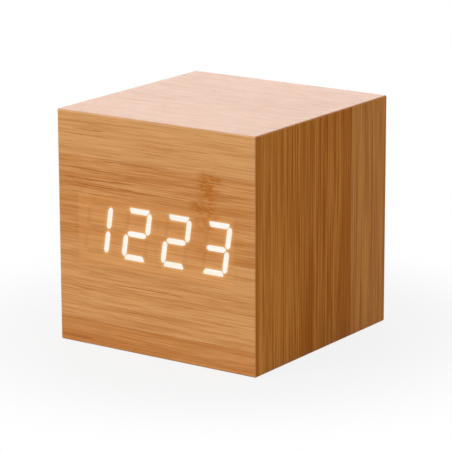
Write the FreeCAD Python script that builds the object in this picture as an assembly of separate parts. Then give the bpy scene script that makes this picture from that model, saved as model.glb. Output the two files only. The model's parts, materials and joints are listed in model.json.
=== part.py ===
"""Wooden cube clock: a veneered fibreboard cube whose digits shine through its bamboo front.

Millimetres. +Z is up, the front faces -Y, and the origin is the centre of the base.
The case is six mitred veneer sheets over six boards. Behind the front sit a segment mask and
its lamp board, behind the back a main board with three push buttons and a power jack, and
below that a snap-in battery box for three AAA cells with a door that tilts open.
"""

import FreeCAD, Part

import math
import os

from FreeCAD import Rotation, Vector

# ---------------------------------------------------------------- driving sizes

# AAA cells and their contacts
CELL_D = 10.3
CELL_L = 44.5
NUB_D = 3.8
NUB_L = 0.8
CELL_GAP = 0.6
CELL_COUNT = 3
CONTACT_T = 0.3
CONTACT_W = 9.0
CONTACT_SLOT = 0.45
DIMPLE_H = 0.5
DIMPLE_D = 4.2
SPRING_L = 3.4
SPRING_BASE_R = 3.3
SPRING_TIP_R = 1.9
SPRING_WIRE_D = 0.5
SPRING_TURNS = 3.5
SPRING_SECTIONS = 8
TAB_W = 2.2
TAB_OUT = 1.8

# battery box and door
BOX_END_T = 1.2
BOX_WALL_T = 2.0
BOX_FLOOR_T = 1.2
CRADLE_GAP = 0.2
BOX_SIDE_GAP = 0.3
BOX_BASE_GAP = 1.2
BOX_FIT = 0.15
FLANGE_LIP = 2.0
FLANGE_T = 1.6
FLANGE_PROUD = 0.4
FLANGE_R = 2.0
FLANGE_CHAMFER = 0.25
BARB_W = 7.0
BARB_OUT = 0.8
BARB_L = 1.6
BARB_X = 6.0
DOOR_T = 1.4
DOOR_LEDGE = 0.6
DOOR_GAP = 0.15
DOOR_CELL_GAP = 0.6
DOOR_R = 1.0
HOOK_W = 6.0
HOOK_T = 1.1
HOOK_REACH = 0.9
HOOK_X = 15.0
HOOK_CLEAR = 0.2
RIB_T = 1.0
RIB_H = 1.8
TONGUE_W = 15.0
TONGUE_L = 9.5
TONGUE_SLIT = 0.6
NOSE_OUT = 0.1
NOSE_T = 0.6
GRIP_COUNT = 4
GRIP_PITCH = 1.6
GRIP_MARGIN = 1.2
GRIP_R = 0.35
NOTCH_W = 13.0
NOTCH_DEPTH = 0.7
NOTCH_REACH = 1.3

# case
VENEER_T = 0.5
BOARD_T = 4.5
EDGE_EASE = 0.3

# display
MODULE_W = 50.3
MODULE_H = 19.0
MODULE_RISE = 0.4
WINDOW_FIT = 0.2
FILM_T = 0.2
GLOW_DEPTH = 0.2
MODULE_RIM = 0.35
DIGIT_SHIFT_X = 0.5
DIGIT_SHIFT_Z = 0.45
DIGIT_SLANT = 8.5
SEG_T = 1.3
SEG_COLUMN = 3.33
SEG_ROW = 6.25
SEG_GAP = 0.3
SEG_CLIP = 0.3
GLOW_SPREAD = 0.08
CELL_DRAFT = 0.15
COLON_D = 1.4
COLON_ROW = 3.1
COLON_SIDES = 12
TIME_SHOWN = "1223"

# circuit boards and what is on them
PCB_T = 1.6
PCB_FIT = 0.3
LAMP_BOARD_H = 30.4
MAIN_BOARD_L = 28.8
LAMP_L = 1.2
LAMP_W = 0.6
LAMP_H = 0.6
CHIP_W = 7.5
CHIP_H = 2.2
CHIP_STAND = 0.1
CHIP_PINS = 8
PIN_PITCH = 1.27
PIN_W = 0.42
PIN_T = 0.2
PIN_BEND = 0.7
PIN_REACH = 1.4
RESISTOR_SIZE = (2.0, 0.5, 1.25)
RESISTOR_COUNT = 8
RESISTOR_PITCH = 3.2
HEADER_W = 10.8
HEADER_H = 4.2
HEADER_L = 5.0
HEADER_WALL = 0.7
PLUG_FIT = 0.1
WIRE_COUNT = 8
WIRE_PITCH = 1.02
WIRE_D = 1.0
BUZZER_D = 12.0
BUZZER_H = 6.3
CAN_D = 5.0
CAN_H = 6.2
CRYSTAL_D = 2.0
CRYSTAL_L = 6.0
MIC_D = 6.0
MIC_H = 2.6
RAIL_W = 5.0
RAIL_H = 4.0
LEAD_D = 1.2
LEAD_REACH = 6.0

# wood screws
SCREW_D = 2.0
SCREW_HEAD_D = 3.8
SCREW_HEAD_H = 1.3
SCREW_BITE = 3.2
SCREW_HOLE_D = 2.3
PILOT_FIT = 0.02
SCREW_INSET = 2.8
SCREW_SIDES = 6

# push buttons and the jack
BUTTON_DROP = 9.4
BUTTON_PITCH = 11.0
BUTTON_FIRST_X = 17.0
BUTTON_NAMES = ("set", "up", "down")
BUTTON_D = 5.6
BUTTON_PROUD = 1.0
BUTTON_FIT = 0.2
BUTTON_COLLAR_D = 7.6
BUTTON_SHOULDER_GAP = 0.1
BUTTON_CHAMFER = 0.4
BUTTON_TRAVEL = 0.3
CHANNEL_DEPTH = 2.3
CHANNEL_R = 3.0
SWITCH_W = 6.0
SWITCH_H = 6.2
SWITCH_L = 3.5
SWITCH_SETBACK = 1.2
STEM_D = 3.5
STEM_OUT = 2.1
STEM_IN = 0.6
STEM_FIT = 0.08
JACK_X = -17.0
JACK_W = 6.6
JACK_L = 9.8
JACK_NOSE_D = 6.0
JACK_NOSE_SINK = 0.8
JACK_BORE_D = 3.6
JACK_BORE_L = 12.0
JACK_PIN_D = 1.3
JACK_PIN_SINK = 1.5
JACK_PIN_SEAT = 1.2
JACK_PIN_ROOT_D = 2.0
JACK_ROOT_SIDES = 8

# ---------------------------------------------------------------- derived places

BAY_L = CELL_L + 2 * CONTACT_T + DIMPLE_H + SPRING_L
BOX_W = BAY_L + 2 * BOX_END_T
INNER = BOX_W + 2 * BOX_SIDE_GAP
WALL = BOARD_T + VENEER_T
CUBE = INNER + 2 * WALL
HALF = CUBE / 2
CORE_HALF = HALF - VENEER_T
CAVITY_HALF = INNER / 2
FRONT, BACK = -HALF, HALF
CORE_FRONT, CORE_BACK = FRONT + VENEER_T, BACK - VENEER_T
CAVITY_FRONT, CAVITY_BACK = FRONT + WALL, BACK - WALL
CAVITY_FLOOR = WALL

CELL_PITCH = CELL_D + CELL_GAP
FLANGE_FACE = BACK + FLANGE_PROUD
FLANGE_INNER = FLANGE_FACE - FLANGE_T
DOOR_INNER = FLANGE_FACE - DOOR_T
CELL_Y = DOOR_INNER - DOOR_CELL_GAP - CELL_D / 2
CRADLE_R = CELL_D / 2 + CRADLE_GAP
CRADLE_BOTTOM = CELL_Y - CRADLE_R
TROUGH_R = CRADLE_R + BOX_FLOOR_T
BOX_FRONT = CELL_Y - TROUGH_R
BAY_H = CELL_COUNT * CELL_PITCH
BOX_H = BAY_H + 2 * BOX_WALL_T
BOX_BOTTOM = CAVITY_FLOOR + BOX_BASE_GAP
BAY_BOTTOM = BOX_BOTTOM + BOX_WALL_T
BAY_TOP = BAY_BOTTOM + BAY_H
BOX_TOP = BOX_BOTTOM + BOX_H
CELL_Z = [BAY_BOTTOM + CELL_PITCH * (i + 0.5) for i in range(CELL_COUNT)]
PLATE_X = BAY_L / 2 - CONTACT_T
CELL_START = PLATE_X - DIMPLE_H

BUTTON_Z = CUBE - BUTTON_DROP
BUTTON_X = [BUTTON_FIRST_X - BUTTON_PITCH * i for i in range(len(BUTTON_NAMES))]
MAIN_TOP = BUTTON_Z - SWITCH_H / 2
MAIN_BOTTOM = MAIN_TOP - PCB_T
SWITCH_FACE = CAVITY_BACK - SWITCH_SETBACK
MAIN_FRONT = SWITCH_FACE - MAIN_BOARD_L
BOARD_HALF = CAVITY_HALF - PCB_FIT

MODULE_Z = CUBE / 2 + MODULE_RISE
WINDOW_R = 3 * WINDOW_FIT
MASK_FRONT = CORE_FRONT + FILM_T
LAMP_BACK = CAVITY_FRONT + PCB_T
DIGIT_Z = MODULE_Z + DIGIT_SHIFT_Z
DIGIT_PITCH = (MODULE_W - 2 * MODULE_RIM) / len(TIME_SHOWN)
DIGIT_X = [DIGIT_SHIFT_X + DIGIT_PITCH * (i - 1.5) for i in range(len(TIME_SHOWN))]
SLANT = math.tan(math.radians(DIGIT_SLANT))

HINGE_R = DOOR_T / 2
HINGE_Y = FLANGE_FACE - HINGE_R
RECESS_BOTTOM = BAY_BOTTOM - DOOR_LEDGE
RECESS_TOP = BAY_TOP + DOOR_LEDGE
HINGE_Z = RECESS_BOTTOM + DOOR_GAP + HINGE_R

X, Y, Z = Vector(1, 0, 0), Vector(0, 1, 0), Vector(0, 0, 1)
NODES = {}


# ---------------------------------------------------------------- helpers


def box(x0, x1, y0, y1, z0, z1):
    """A block between two corners."""
    return Part.makeBox(x1 - x0, y1 - y0, z1 - z0, Vector(x0, y0, z0))


def centred(x, y, z, w, d, h):
    """A block w wide, d deep and h high about a centre."""
    return box(x - w / 2, x + w / 2, y - d / 2, y + d / 2, z - h / 2, z + h / 2)


def rod(diameter, start, direction, length):
    """A cylinder from a start point along a direction."""
    return Part.makeCylinder(diameter / 2, length, start, direction)


def rounded_wire(points, radius):
    """A closed outline whose corners are arcs, as large as the radius or the corner's sides allow."""
    edges, arcs = [], []
    for i, corner in enumerate(points):
        before, after = points[i - 1] - corner, points[(i + 1) % len(points)] - corner
        half_angle = before.getAngle(after) / 2
        setback = min(radius / math.tan(half_angle), 0.45 * before.Length, 0.45 * after.Length)
        start = corner + before.normalize() * setback
        end = corner + after.normalize() * setback
        arc_r = setback * math.tan(half_angle)
        middle = corner + (before + after).normalize() * (arc_r / math.sin(half_angle) - arc_r)
        arcs.append((start, middle, end))
    for i, (start, middle, end) in enumerate(arcs):
        edges.append(Part.LineSegment(arcs[i - 1][2], start).toShape())
        edges.append(Part.Arc(start, middle, end).toShape())
    return Part.Wire(edges)


def clipped_outline(points, clip):
    """A closed outline with each corner cut off where two marks, clip from it along its sides, lie."""
    clipped = []
    for i, corner in enumerate(points):
        for other in (points[i - 1], points[(i + 1) % len(points)]):
            side = other - corner
            clipped.append(corner + side * (min(clip, 0.4 * side.Length) / side.Length))
    return Part.makePolygon(clipped + clipped[:1])


def rounded_block(x, z, w, h, y0, y1, radius):
    """A block with rounded corners in the XZ plane, from y0 to y1."""
    corners = [(-1, -1), (1, -1), (1, 1), (-1, 1)]
    points = [Vector(x + sx * w / 2, y0, z + sz * h / 2) for sx, sz in corners]
    return Part.Face(rounded_wire(points, radius)).extrude(Y * (y1 - y0))


def prism(points, along):
    """A straight-sided outline pulled along a vector."""
    return Part.Face(Part.makePolygon(points + points[:1])).extrude(along)


def frustum(first, last):
    """A flat-sided solid between two outlines whose sides are parallel, pair by pair."""
    faces = [Part.Face(Part.makePolygon(end + end[:1])) for end in (first, last)]
    for i in range(len(first)):
        faces.append(Part.Face(Part.makePolygon([first[i - 1], first[i], last[i], last[i - 1], first[i - 1]])))
    return Part.makeSolid(Part.makeShell(faces))


def turned(points, base, direction):
    """A solid of revolution: points are (radius, distance along direction from base)."""
    profile = [Vector(r, 0, h) for r, h in points]
    solid = Part.Face(Part.makePolygon(profile + profile[:1])).revolve(Vector(), Z, 360)
    solid.Placement = FreeCAD.Placement(base, Rotation(Z, direction))
    return solid


def fuse(shapes):
    """One solid from several that touch or overlap."""
    return shapes[0].multiFuse(shapes[1:]).removeSplitter()


def cut(shape, tools):
    """The shape less every tool."""
    return shape.cut(Part.makeCompound(tools))


def keep(name, shapes):
    """Files one solid or a list of them under a node name."""
    NODES[name] = Part.makeCompound(shapes) if isinstance(shapes, list) else shapes


def swept(points, section):
    """A section along straight runs joined by tangent arcs, each as large as its two runs allow."""
    edges, at = [], points[0]
    for before, corner, after in zip(points, points[1:], points[2:]):
        back, ahead = before - corner, after - corner
        half_angle = back.getAngle(ahead) / 2
        setback = 0.45 * min(back.Length, ahead.Length)
        start = corner + back.normalize() * setback
        end = corner + ahead.normalize() * setback
        arc_r = setback * math.tan(half_angle)
        middle = corner + (back + ahead).normalize() * (arc_r / math.sin(half_angle) - arc_r)
        edges += [Part.LineSegment(at, start).toShape(), Part.Arc(start, middle, end).toShape()]
        at = end
    edges.append(Part.LineSegment(at, points[-1]).toShape())
    return Part.Wire(edges).makePipeShell([section], True, False)


def six_sided(centre, across, up, diameter):
    """The six-sided section of a thin wire, across and up being square to the wire."""
    turns = [math.tau * i / 6 for i in range(7)]
    corners = [across * math.cos(turn) + up * math.sin(turn) for turn in turns]
    return Part.makePolygon([centre + corner * (diameter / 2) for corner in corners])


def polygon_rod(diameter, start, direction, length, sides):
    """A straight rod of a given number of sides, which touch a circle of the diameter at their corners."""
    angles = [math.tau * i / sides for i in range(sides)]
    corners = [Vector(math.cos(a), math.sin(a), 0) * (diameter / 2) for a in angles]
    solid = prism(corners, Z * length)
    solid.Placement = FreeCAD.Placement(start, Rotation(Z, direction))
    return solid


def screw(head_base, direction):
    """A wood screw without its thread and slot. direction points from the head into the wood."""
    shank = polygon_rod(SCREW_D, head_base, direction, PCB_T + SCREW_BITE, SCREW_SIDES)
    head = polygon_rod(SCREW_HEAD_D, head_base, direction * -1, SCREW_HEAD_H, 2 * SCREW_SIDES)
    return fuse([shank, head])


def pilot(head_base, direction):
    """The hole that a screw cuts for itself in the wood behind a circuit board."""
    start = head_base + direction * PCB_T
    return polygon_rod(SCREW_D + 2 * PILOT_FIT, start, direction, SCREW_BITE + PILOT_FIT, SCREW_SIDES)


def board_hole(head_base, direction):
    """The clearance hole for a screw through a circuit board."""
    return polygon_rod(SCREW_HOLE_D, head_base, direction, PCB_T, 2 * SCREW_SIDES)


def chip(x, y, z, up, row):
    """A surface-mount chip on a board at x, y, z: its body, and its pins in two rows.

    up points away from the board, and row runs along each row of pins.
    """
    across = up.cross(row)
    length = CHIP_PINS * PIN_PITCH
    centre = Vector(x, y, z) + up * (CHIP_STAND + CHIP_H / 2)
    size = row * length + across * CHIP_W + up * CHIP_H
    body = centred(*centre, *[abs(c) for c in size])
    pins = []
    for side in (across, across * -1):
        for i in range(CHIP_PINS):
            offset = row * (PIN_PITCH * (i - (CHIP_PINS - 1) / 2) - PIN_W / 2)
            root = Vector(x, y, z) + side * (CHIP_W / 2) + offset
            shoulder = CHIP_STAND + CHIP_H / 2
            outline = [
                (0, shoulder), (PIN_BEND, shoulder), (PIN_REACH, 0), (PIN_BEND, 0), (0, shoulder - PIN_T),
            ]
            points = [root + side * a + up * b for a, b in outline]
            pins.append(prism(points, row * PIN_W))
    return body, pins


# ---------------------------------------------------------------- case


def mitred_sheet(outward):
    """One face's veneer: its four edges are mitred, and the case's sharp edges are eased."""
    outer = Part.makePolygon([Vector(sx * HALF, sy * HALF, HALF) for sx, sy in SQUARE])
    inner = Part.makePolygon([Vector(sx * CORE_HALF, sy * CORE_HALF, CORE_HALF) for sx, sy in SQUARE])
    sheet = Part.makeLoft([outer, inner], True, True)
    sheet.Placement = FreeCAD.Placement(Vector(0, 0, HALF), Rotation(Z, outward))
    block = box(-HALF, HALF, FRONT, BACK, 0, CUBE)
    return sheet.common(block.makeChamfer(EDGE_EASE, block.Edges))


SQUARE = [(-1, -1), (1, -1), (1, 1), (-1, 1), (-1, -1)]


def tube_board(outward):
    """One of the four boards between the front and back boards, mitred where they meet."""
    across = outward.cross(Y)
    centre = Vector(0, CAVITY_FRONT, HALF)
    points = [
        centre + outward * CORE_HALF - across * CORE_HALF,
        centre + outward * CORE_HALF + across * CORE_HALF,
        centre + outward * CAVITY_HALF + across * CAVITY_HALF,
        centre + outward * CAVITY_HALF - across * CAVITY_HALF,
    ]
    return prism(points, Y * (CAVITY_BACK - CAVITY_FRONT))


def back_holes(y0, y1):
    """What both the back veneer and the back board leave open between y0 and y1."""
    bore_d = BUTTON_D + 2 * BUTTON_FIT
    holes = [rod(bore_d, Vector(x, y0, BUTTON_Z), Y, y1 - y0) for x in BUTTON_X]
    jack_d = JACK_NOSE_D + 2 * BUTTON_FIT
    holes.append(rod(jack_d, Vector(JACK_X, y0, BUTTON_Z), Y, y1 - y0))
    box_z = BOX_BOTTOM + BOX_H / 2
    holes.append(centred(0, (y0 + y1) / 2, box_z, BOX_W + 2 * BOX_FIT, y1 - y0, BOX_H + 2 * BOX_FIT))
    rim = FLANGE_LIP + BOX_FIT
    rebate = rounded_block(0, box_z, BOX_W + 2 * rim, BOX_H + 2 * rim, FLANGE_INNER, BACK + WALL, FLANGE_R)
    holes.append(rebate)
    return holes


def make_case():
    """Veneers, boards and the two rails that carry the main board."""
    faces = {"front": -Y, "back": Y, "left": -X, "right": X, "top": Z, "bottom": -Z}
    sheets = {name: mitred_sheet(outward) for name, outward in faces.items()}
    sheets["front"] = cut(sheets["front"], glowing_segments())
    sheets["back"] = cut(sheets["back"], back_holes(CORE_BACK, BACK))
    for name, sheet in sheets.items():
        keep(name + "_veneer", sheet)

    front = box(-CORE_HALF, CORE_HALF, CORE_FRONT, CAVITY_FRONT, VENEER_T, CUBE - VENEER_T)
    window = rounded_block(
        0, MODULE_Z, MODULE_W + 2 * WINDOW_FIT, MODULE_H + 2 * WINDOW_FIT,
        CORE_FRONT, CAVITY_FRONT, WINDOW_R,
    )
    lamp_pilots = [pilot(p, -Y) for p in lamp_board_screws()]
    keep("front_board", cut(front, [window] + lamp_pilots))

    back = box(-CORE_HALF, CORE_HALF, CAVITY_BACK, CORE_BACK, VENEER_T, CUBE - VENEER_T)
    channel_h = BUTTON_COLLAR_D + 4 * BUTTON_FIT
    channel = rounded_block(
        (BUTTON_X[0] + BUTTON_X[-1]) / 2, BUTTON_Z, BUTTON_X[0] - BUTTON_X[-1] + channel_h, channel_h,
        CAVITY_BACK, CAVITY_BACK + CHANNEL_DEPTH, CHANNEL_R,
    )
    keep("back_board", cut(back, back_holes(CAVITY_BACK, CORE_BACK) + [channel]))

    for name in ("top", "bottom", "left", "right"):
        keep(name + "_board", tube_board(faces[name]))

    for name, side in (("left", -1), ("right", 1)):
        wall, edge = sorted((side * CAVITY_HALF, side * (CAVITY_HALF - RAIL_W)))
        rail = box(wall, edge, MAIN_FRONT, BOX_FRONT - PCB_FIT, MAIN_BOTTOM - RAIL_H, MAIN_BOTTOM)
        pilots = [pilot(p, -Z) for p in main_board_screws()]
        keep(name + "_rail", cut(rail, pilots))


# ---------------------------------------------------------------- display


def segment_outlines():
    """The seven segments of one digit as (x, z) outlines about its centre, upright."""
    t = SEG_T / 2
    column, row = SEG_COLUMN, SEG_ROW
    long_side = column - SEG_GAP / 2
    short_side = long_side - t
    level = [(-long_side, row + t), (long_side, row + t), (short_side, row - t), (-short_side, row - t)]
    tip, end = SEG_GAP, row - SEG_GAP / 3
    upright = [
        (column, tip), (column + t, tip + t * 0.9), (column + t, end - t), (column, end),
        (column - t, end - t), (column - t, tip + t * 0.9),
    ]
    bar = column - SEG_GAP
    middle = [(-bar, 0), (-bar + t, t), (bar - t, t), (bar, 0), (bar - t, -t), (-bar + t, -t)]
    return {
        "a": level,
        "b": upright,
        "c": [(x, -z) for x, z in upright],
        "d": [(x, -z) for x, z in level],
        "e": [(-x, -z) for x, z in upright],
        "f": [(-x, z) for x, z in upright],
        "g": middle,
    }


SHAPES = {"1": "bc", "2": "abged", "3": "abgcd"}


def segment_points(digit, letter, y):
    """The corners of one slanted segment at depth y."""
    outline = segment_outlines()[letter]
    return [Vector(DIGIT_X[digit] + x + z * SLANT, y, DIGIT_Z + z) for x, z in outline]


def drawn_in(points, amount):
    """A convex outline in the XZ plane with each side moved inwards by the same amount."""
    centre = sum(points, Vector()) / len(points)
    moved = []
    for i, corner in enumerate(points):
        sides = (corner - points[i - 1], points[(i + 1) % len(points)] - corner)
        inward = [side.cross(Y).normalize() for side in sides]
        inward = [n if n.dot(centre - corner) > 0 else n * -1 for n in inward]
        moved.append(corner + (inward[0] + inward[1]) * (amount / (1 + inward[0].dot(inward[1]))))
    return moved


def glowing_segments():
    """The lit part of the front veneer: a thin blunt-cornered solid a little wider than each lit well."""
    patches = []
    for i, shown in enumerate(TIME_SHOWN):
        for letter in SHAPES[shown]:
            spread = drawn_in(segment_points(i, letter, FRONT), -GLOW_SPREAD)
            patches.append(Part.Face(clipped_outline(spread, SEG_CLIP)).extrude(Y * GLOW_DEPTH))
    return patches


def reflector_cell(digit, letter):
    """The light well behind one segment: full size at the film, and drawn in towards its lamp."""
    mouth = segment_points(digit, letter, MASK_FRONT)
    floor = drawn_in(segment_points(digit, letter, CAVITY_FRONT), CELL_DRAFT)
    return frustum(mouth, floor)


def colon_cells():
    """The two many-sided light wells of the colon, between the middle digits."""
    middle = (DIGIT_X[1] + DIGIT_X[2]) / 2
    angles = [math.tau * i / COLON_SIDES for i in range(COLON_SIDES)]
    cells = []
    for z in (-COLON_ROW, COLON_ROW):
        centre = Vector(middle + z * SLANT, MASK_FRONT, DIGIT_Z + z)
        mouth = [centre + Vector(math.cos(a), 0, math.sin(a)) * (COLON_D / 2) for a in angles]
        floor = [point + Y * (CAVITY_FRONT - MASK_FRONT) for point in drawn_in(mouth, CELL_DRAFT)]
        cells.append(frustum(mouth, floor))
    return cells


def lamp_board_screws():
    """Where the screw heads sit on the back of the lamp board, at two opposite corners."""
    x = BOARD_HALF - SCREW_INSET
    z = LAMP_BOARD_H / 2 - SCREW_INSET
    return [Vector(side * x, LAMP_BACK, MODULE_Z - side * z) for side in (-1, 1)]


def make_display():
    """Lit segments, diffuser film, segment mask, lamp board with its lamps, drivers and socket."""
    keep("lit_segments", glowing_segments())
    keep("diffuser_film", centred(0, CORE_FRONT + FILM_T / 2, MODULE_Z, MODULE_W, FILM_T, MODULE_H))

    mask = box(
        -MODULE_W / 2, MODULE_W / 2, MASK_FRONT, CAVITY_FRONT,
        MODULE_Z - MODULE_H / 2, MODULE_Z + MODULE_H / 2,
    )
    cells = [reflector_cell(i, s) for i in range(len(DIGIT_X)) for s in "abcdefg"] + colon_cells()
    keep("segment_mask", cut(mask, cells))

    board = centred(0, CAVITY_FRONT + PCB_T / 2, MODULE_Z, 2 * BOARD_HALF, PCB_T, LAMP_BOARD_H)
    holes = [board_hole(p, -Y) for p in lamp_board_screws()]
    keep("lamp_board", cut(board, holes))
    keep("lamp_board_screws", [screw(p, -Y) for p in lamp_board_screws()])

    lamps = []
    for cell in cells:
        c = cell.CenterOfMass
        wide, high = cell.BoundBox.XLength, cell.BoundBox.ZLength
        w = LAMP_L if wide > max(high, 2 * LAMP_L) else LAMP_W
        h = LAMP_L if high > max(wide, 2 * LAMP_L) else LAMP_W
        lamps.append(centred(c.x, CAVITY_FRONT - LAMP_H / 2, c.z, w, LAMP_H, h))
    keep("segment_lamps", lamps)

    chips = [chip(sx * MODULE_W / 4, LAMP_BACK, MODULE_Z, Y, X) for sx in (-1, 1)]
    keep("driver_chips", [body for body, _ in chips])
    keep("driver_chip_pins", [pin for _, pins in chips for pin in pins])
    w, d, h = RESISTOR_SIZE
    first = -RESISTOR_PITCH * (RESISTOR_COUNT - 1) / 2
    z = MODULE_Z - LAMP_BOARD_H / 4 - CHIP_W / 4
    keep("lamp_resistors", [
        centred(first + RESISTOR_PITCH * i, LAMP_BACK + d / 2, z, w, d, h) for i in range(RESISTOR_COUNT)
    ])


# ---------------------------------------------------------------- ribbon cable and its sockets


def socket(base, out, high):
    """A shrouded socket open towards out, standing on a board: its shell and the plug inside it."""
    wide = out.cross(high)
    centre = base + out * (HEADER_L / 2)
    size = wide * HEADER_W + out * HEADER_L + high * HEADER_H
    shell = centred(*centre, *[abs(c) for c in size])
    room = size - wide * (2 * HEADER_WALL) - out * HEADER_WALL - high * (2 * HEADER_WALL)
    room_centre = centre + out * (HEADER_WALL / 2)
    shell = shell.cut(centred(*room_centre, *[abs(c) for c in room]))
    slim = wide * (2 * PLUG_FIT) + high * (2 * PLUG_FIT)
    plug_size = room - slim
    return shell, centred(*room_centre, *[abs(c) for c in plug_size])


def make_ribbon():
    """The flat cable from the lamp board to the main board, with a socket and plug at each end."""
    lamp_z = MODULE_Z + LAMP_BOARD_H / 2 - HEADER_H
    lamp_base = Vector(0, LAMP_BACK, lamp_z)
    main_base = Vector(0, MAIN_FRONT + HEADER_L, MAIN_TOP + HEADER_H / 2)
    lamp_shell, lamp_plug = socket(lamp_base, Y, Z)
    main_shell, main_plug = socket(main_base, -Y, Z)
    keep("lamp_board_socket", lamp_shell)
    keep("main_board_socket", main_shell)
    keep("ribbon_plugs", [lamp_plug, main_plug])

    start = Vector(0, LAMP_BACK + HEADER_L, lamp_z)
    end = Vector(0, MAIN_FRONT, main_base.z)
    bend_y = (start.y + end.y) / 2
    across, up = X * (WIRE_COUNT * WIRE_PITCH / 2), Z * (WIRE_D / 2)
    section = [start + across + up, start - across + up, start - across - up, start + across - up]
    path = [start, Vector(0, bend_y, start.z), Vector(0, bend_y, end.z), end]
    keep("ribbon_cable", swept(path, Part.makePolygon(section + section[:1])))


# ---------------------------------------------------------------- main board


def main_board_screws():
    """Where the screw heads sit on the main board, one over the middle of each rail."""
    x = CAVITY_HALF - RAIL_W / 2 - PCB_FIT
    return [Vector(sx * x, (MAIN_FRONT + BOX_FRONT) / 2, MAIN_TOP) for sx in (-1, 1)]


def make_main_board():
    """The board that carries the switches, the jack, the controller, the buzzer and the microphone."""
    board = box(-BOARD_HALF, BOARD_HALF, MAIN_FRONT, SWITCH_FACE, MAIN_BOTTOM, MAIN_TOP)
    holes = [board_hole(p, -Z) for p in main_board_screws()]
    keep("main_board", cut(board, holes))
    keep("main_board_screws", [screw(p, -Z) for p in main_board_screws()])

    mid_y = MAIN_FRONT + HEADER_L + PIN_REACH + CHIP_W / 2 + PCB_T
    body, pins = chip(0, mid_y, MAIN_TOP, Z, X)
    keep("controller_chip", body)
    keep("controller_chip_pins", pins)

    buzzer_x = BOARD_HALF - SCREW_INSET - BUZZER_D / 2 - PCB_T
    keep("buzzer", rod(BUZZER_D, Vector(buzzer_x, mid_y, MAIN_TOP), Z, BUZZER_H))

    can_x = -CHIP_PINS * PIN_PITCH / 2 - CAN_D
    keep("capacitor", rod(CAN_D, Vector(can_x, mid_y, MAIN_TOP), Z, CAN_H))

    crystal_at = Vector(-HEADER_W, MAIN_FRONT + CRYSTAL_D, MAIN_TOP + CRYSTAL_D / 2)
    keep("crystal", rod(CRYSTAL_D, crystal_at, -X, CRYSTAL_L))
    mic_at = Vector(HEADER_W, MAIN_FRONT + MIC_D / 2, MAIN_TOP)
    keep("microphone", rod(MIC_D, mic_at, Z, MIC_H))


def make_buttons():
    """Three right-angle switches with their stems, and the caps that come out through the back."""
    for name, x in zip(BUTTON_NAMES, BUTTON_X):
        face = Vector(x, SWITCH_FACE, BUTTON_Z)
        body = box(
            x - SWITCH_W / 2, x + SWITCH_W / 2, SWITCH_FACE - SWITCH_L, SWITCH_FACE,
            MAIN_TOP, MAIN_TOP + SWITCH_H,
        )
        well = rod(STEM_D + 2 * STEM_FIT, face, -Y, STEM_IN + BUTTON_TRAVEL)
        keep(name + "_switch", body.cut(well))
        keep(name + "_stem", rod(STEM_D, face - Y * STEM_IN, Y, STEM_IN + STEM_OUT))
        keep(name + "_button", button_cap(x))


def button_cap(x):
    """A cap seated on its stem: a collar behind the back board and a chamfered face."""
    shoulder = SWITCH_SETBACK + CHANNEL_DEPTH - BUTTON_SHOULDER_GAP
    face = BACK + BUTTON_PROUD - SWITCH_FACE
    collar_r, cap_r = BUTTON_COLLAR_D / 2, BUTTON_D / 2
    outline = [
        (0, STEM_OUT), (collar_r, STEM_OUT), (collar_r, shoulder), (cap_r, shoulder),
        (cap_r, face - BUTTON_CHAMFER), (cap_r - BUTTON_CHAMFER, face), (0, face),
    ]
    return turned(outline, Vector(x, SWITCH_FACE, BUTTON_Z), Y)


def make_jack():
    """The power jack: its square body on the board, its round nose in the back, and its centre pin."""
    nose_end = BACK - JACK_NOSE_SINK
    shell = box(
        JACK_X - JACK_W / 2, JACK_X + JACK_W / 2, SWITCH_FACE - JACK_L, SWITCH_FACE,
        MAIN_TOP, MAIN_TOP + SWITCH_H,
    )
    nose = rod(JACK_NOSE_D, Vector(JACK_X, SWITCH_FACE, BUTTON_Z), Y, nose_end - SWITCH_FACE)
    bore_end = nose_end - JACK_BORE_L
    bore = rod(JACK_BORE_D, Vector(JACK_X, bore_end, BUTTON_Z), Y, JACK_BORE_L)
    pin_start = bore_end - JACK_PIN_SEAT
    pin_base = Vector(JACK_X, pin_start, BUTTON_Z)
    seat_d = JACK_PIN_ROOT_D + 2 * PILOT_FIT
    seat = polygon_rod(seat_d, pin_base, Y, JACK_PIN_SEAT, JACK_ROOT_SIDES)
    keep("power_jack", cut(fuse([shell, nose]), [bore, seat]))
    root = polygon_rod(JACK_PIN_ROOT_D, pin_base, Y, JACK_PIN_SEAT, JACK_ROOT_SIDES)
    pin_length = nose_end - JACK_PIN_SINK - pin_start
    keep("power_jack_pin", fuse([root, rod(JACK_PIN_D, pin_base, Y, pin_length)]))


# ---------------------------------------------------------------- battery box, door and cells


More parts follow.
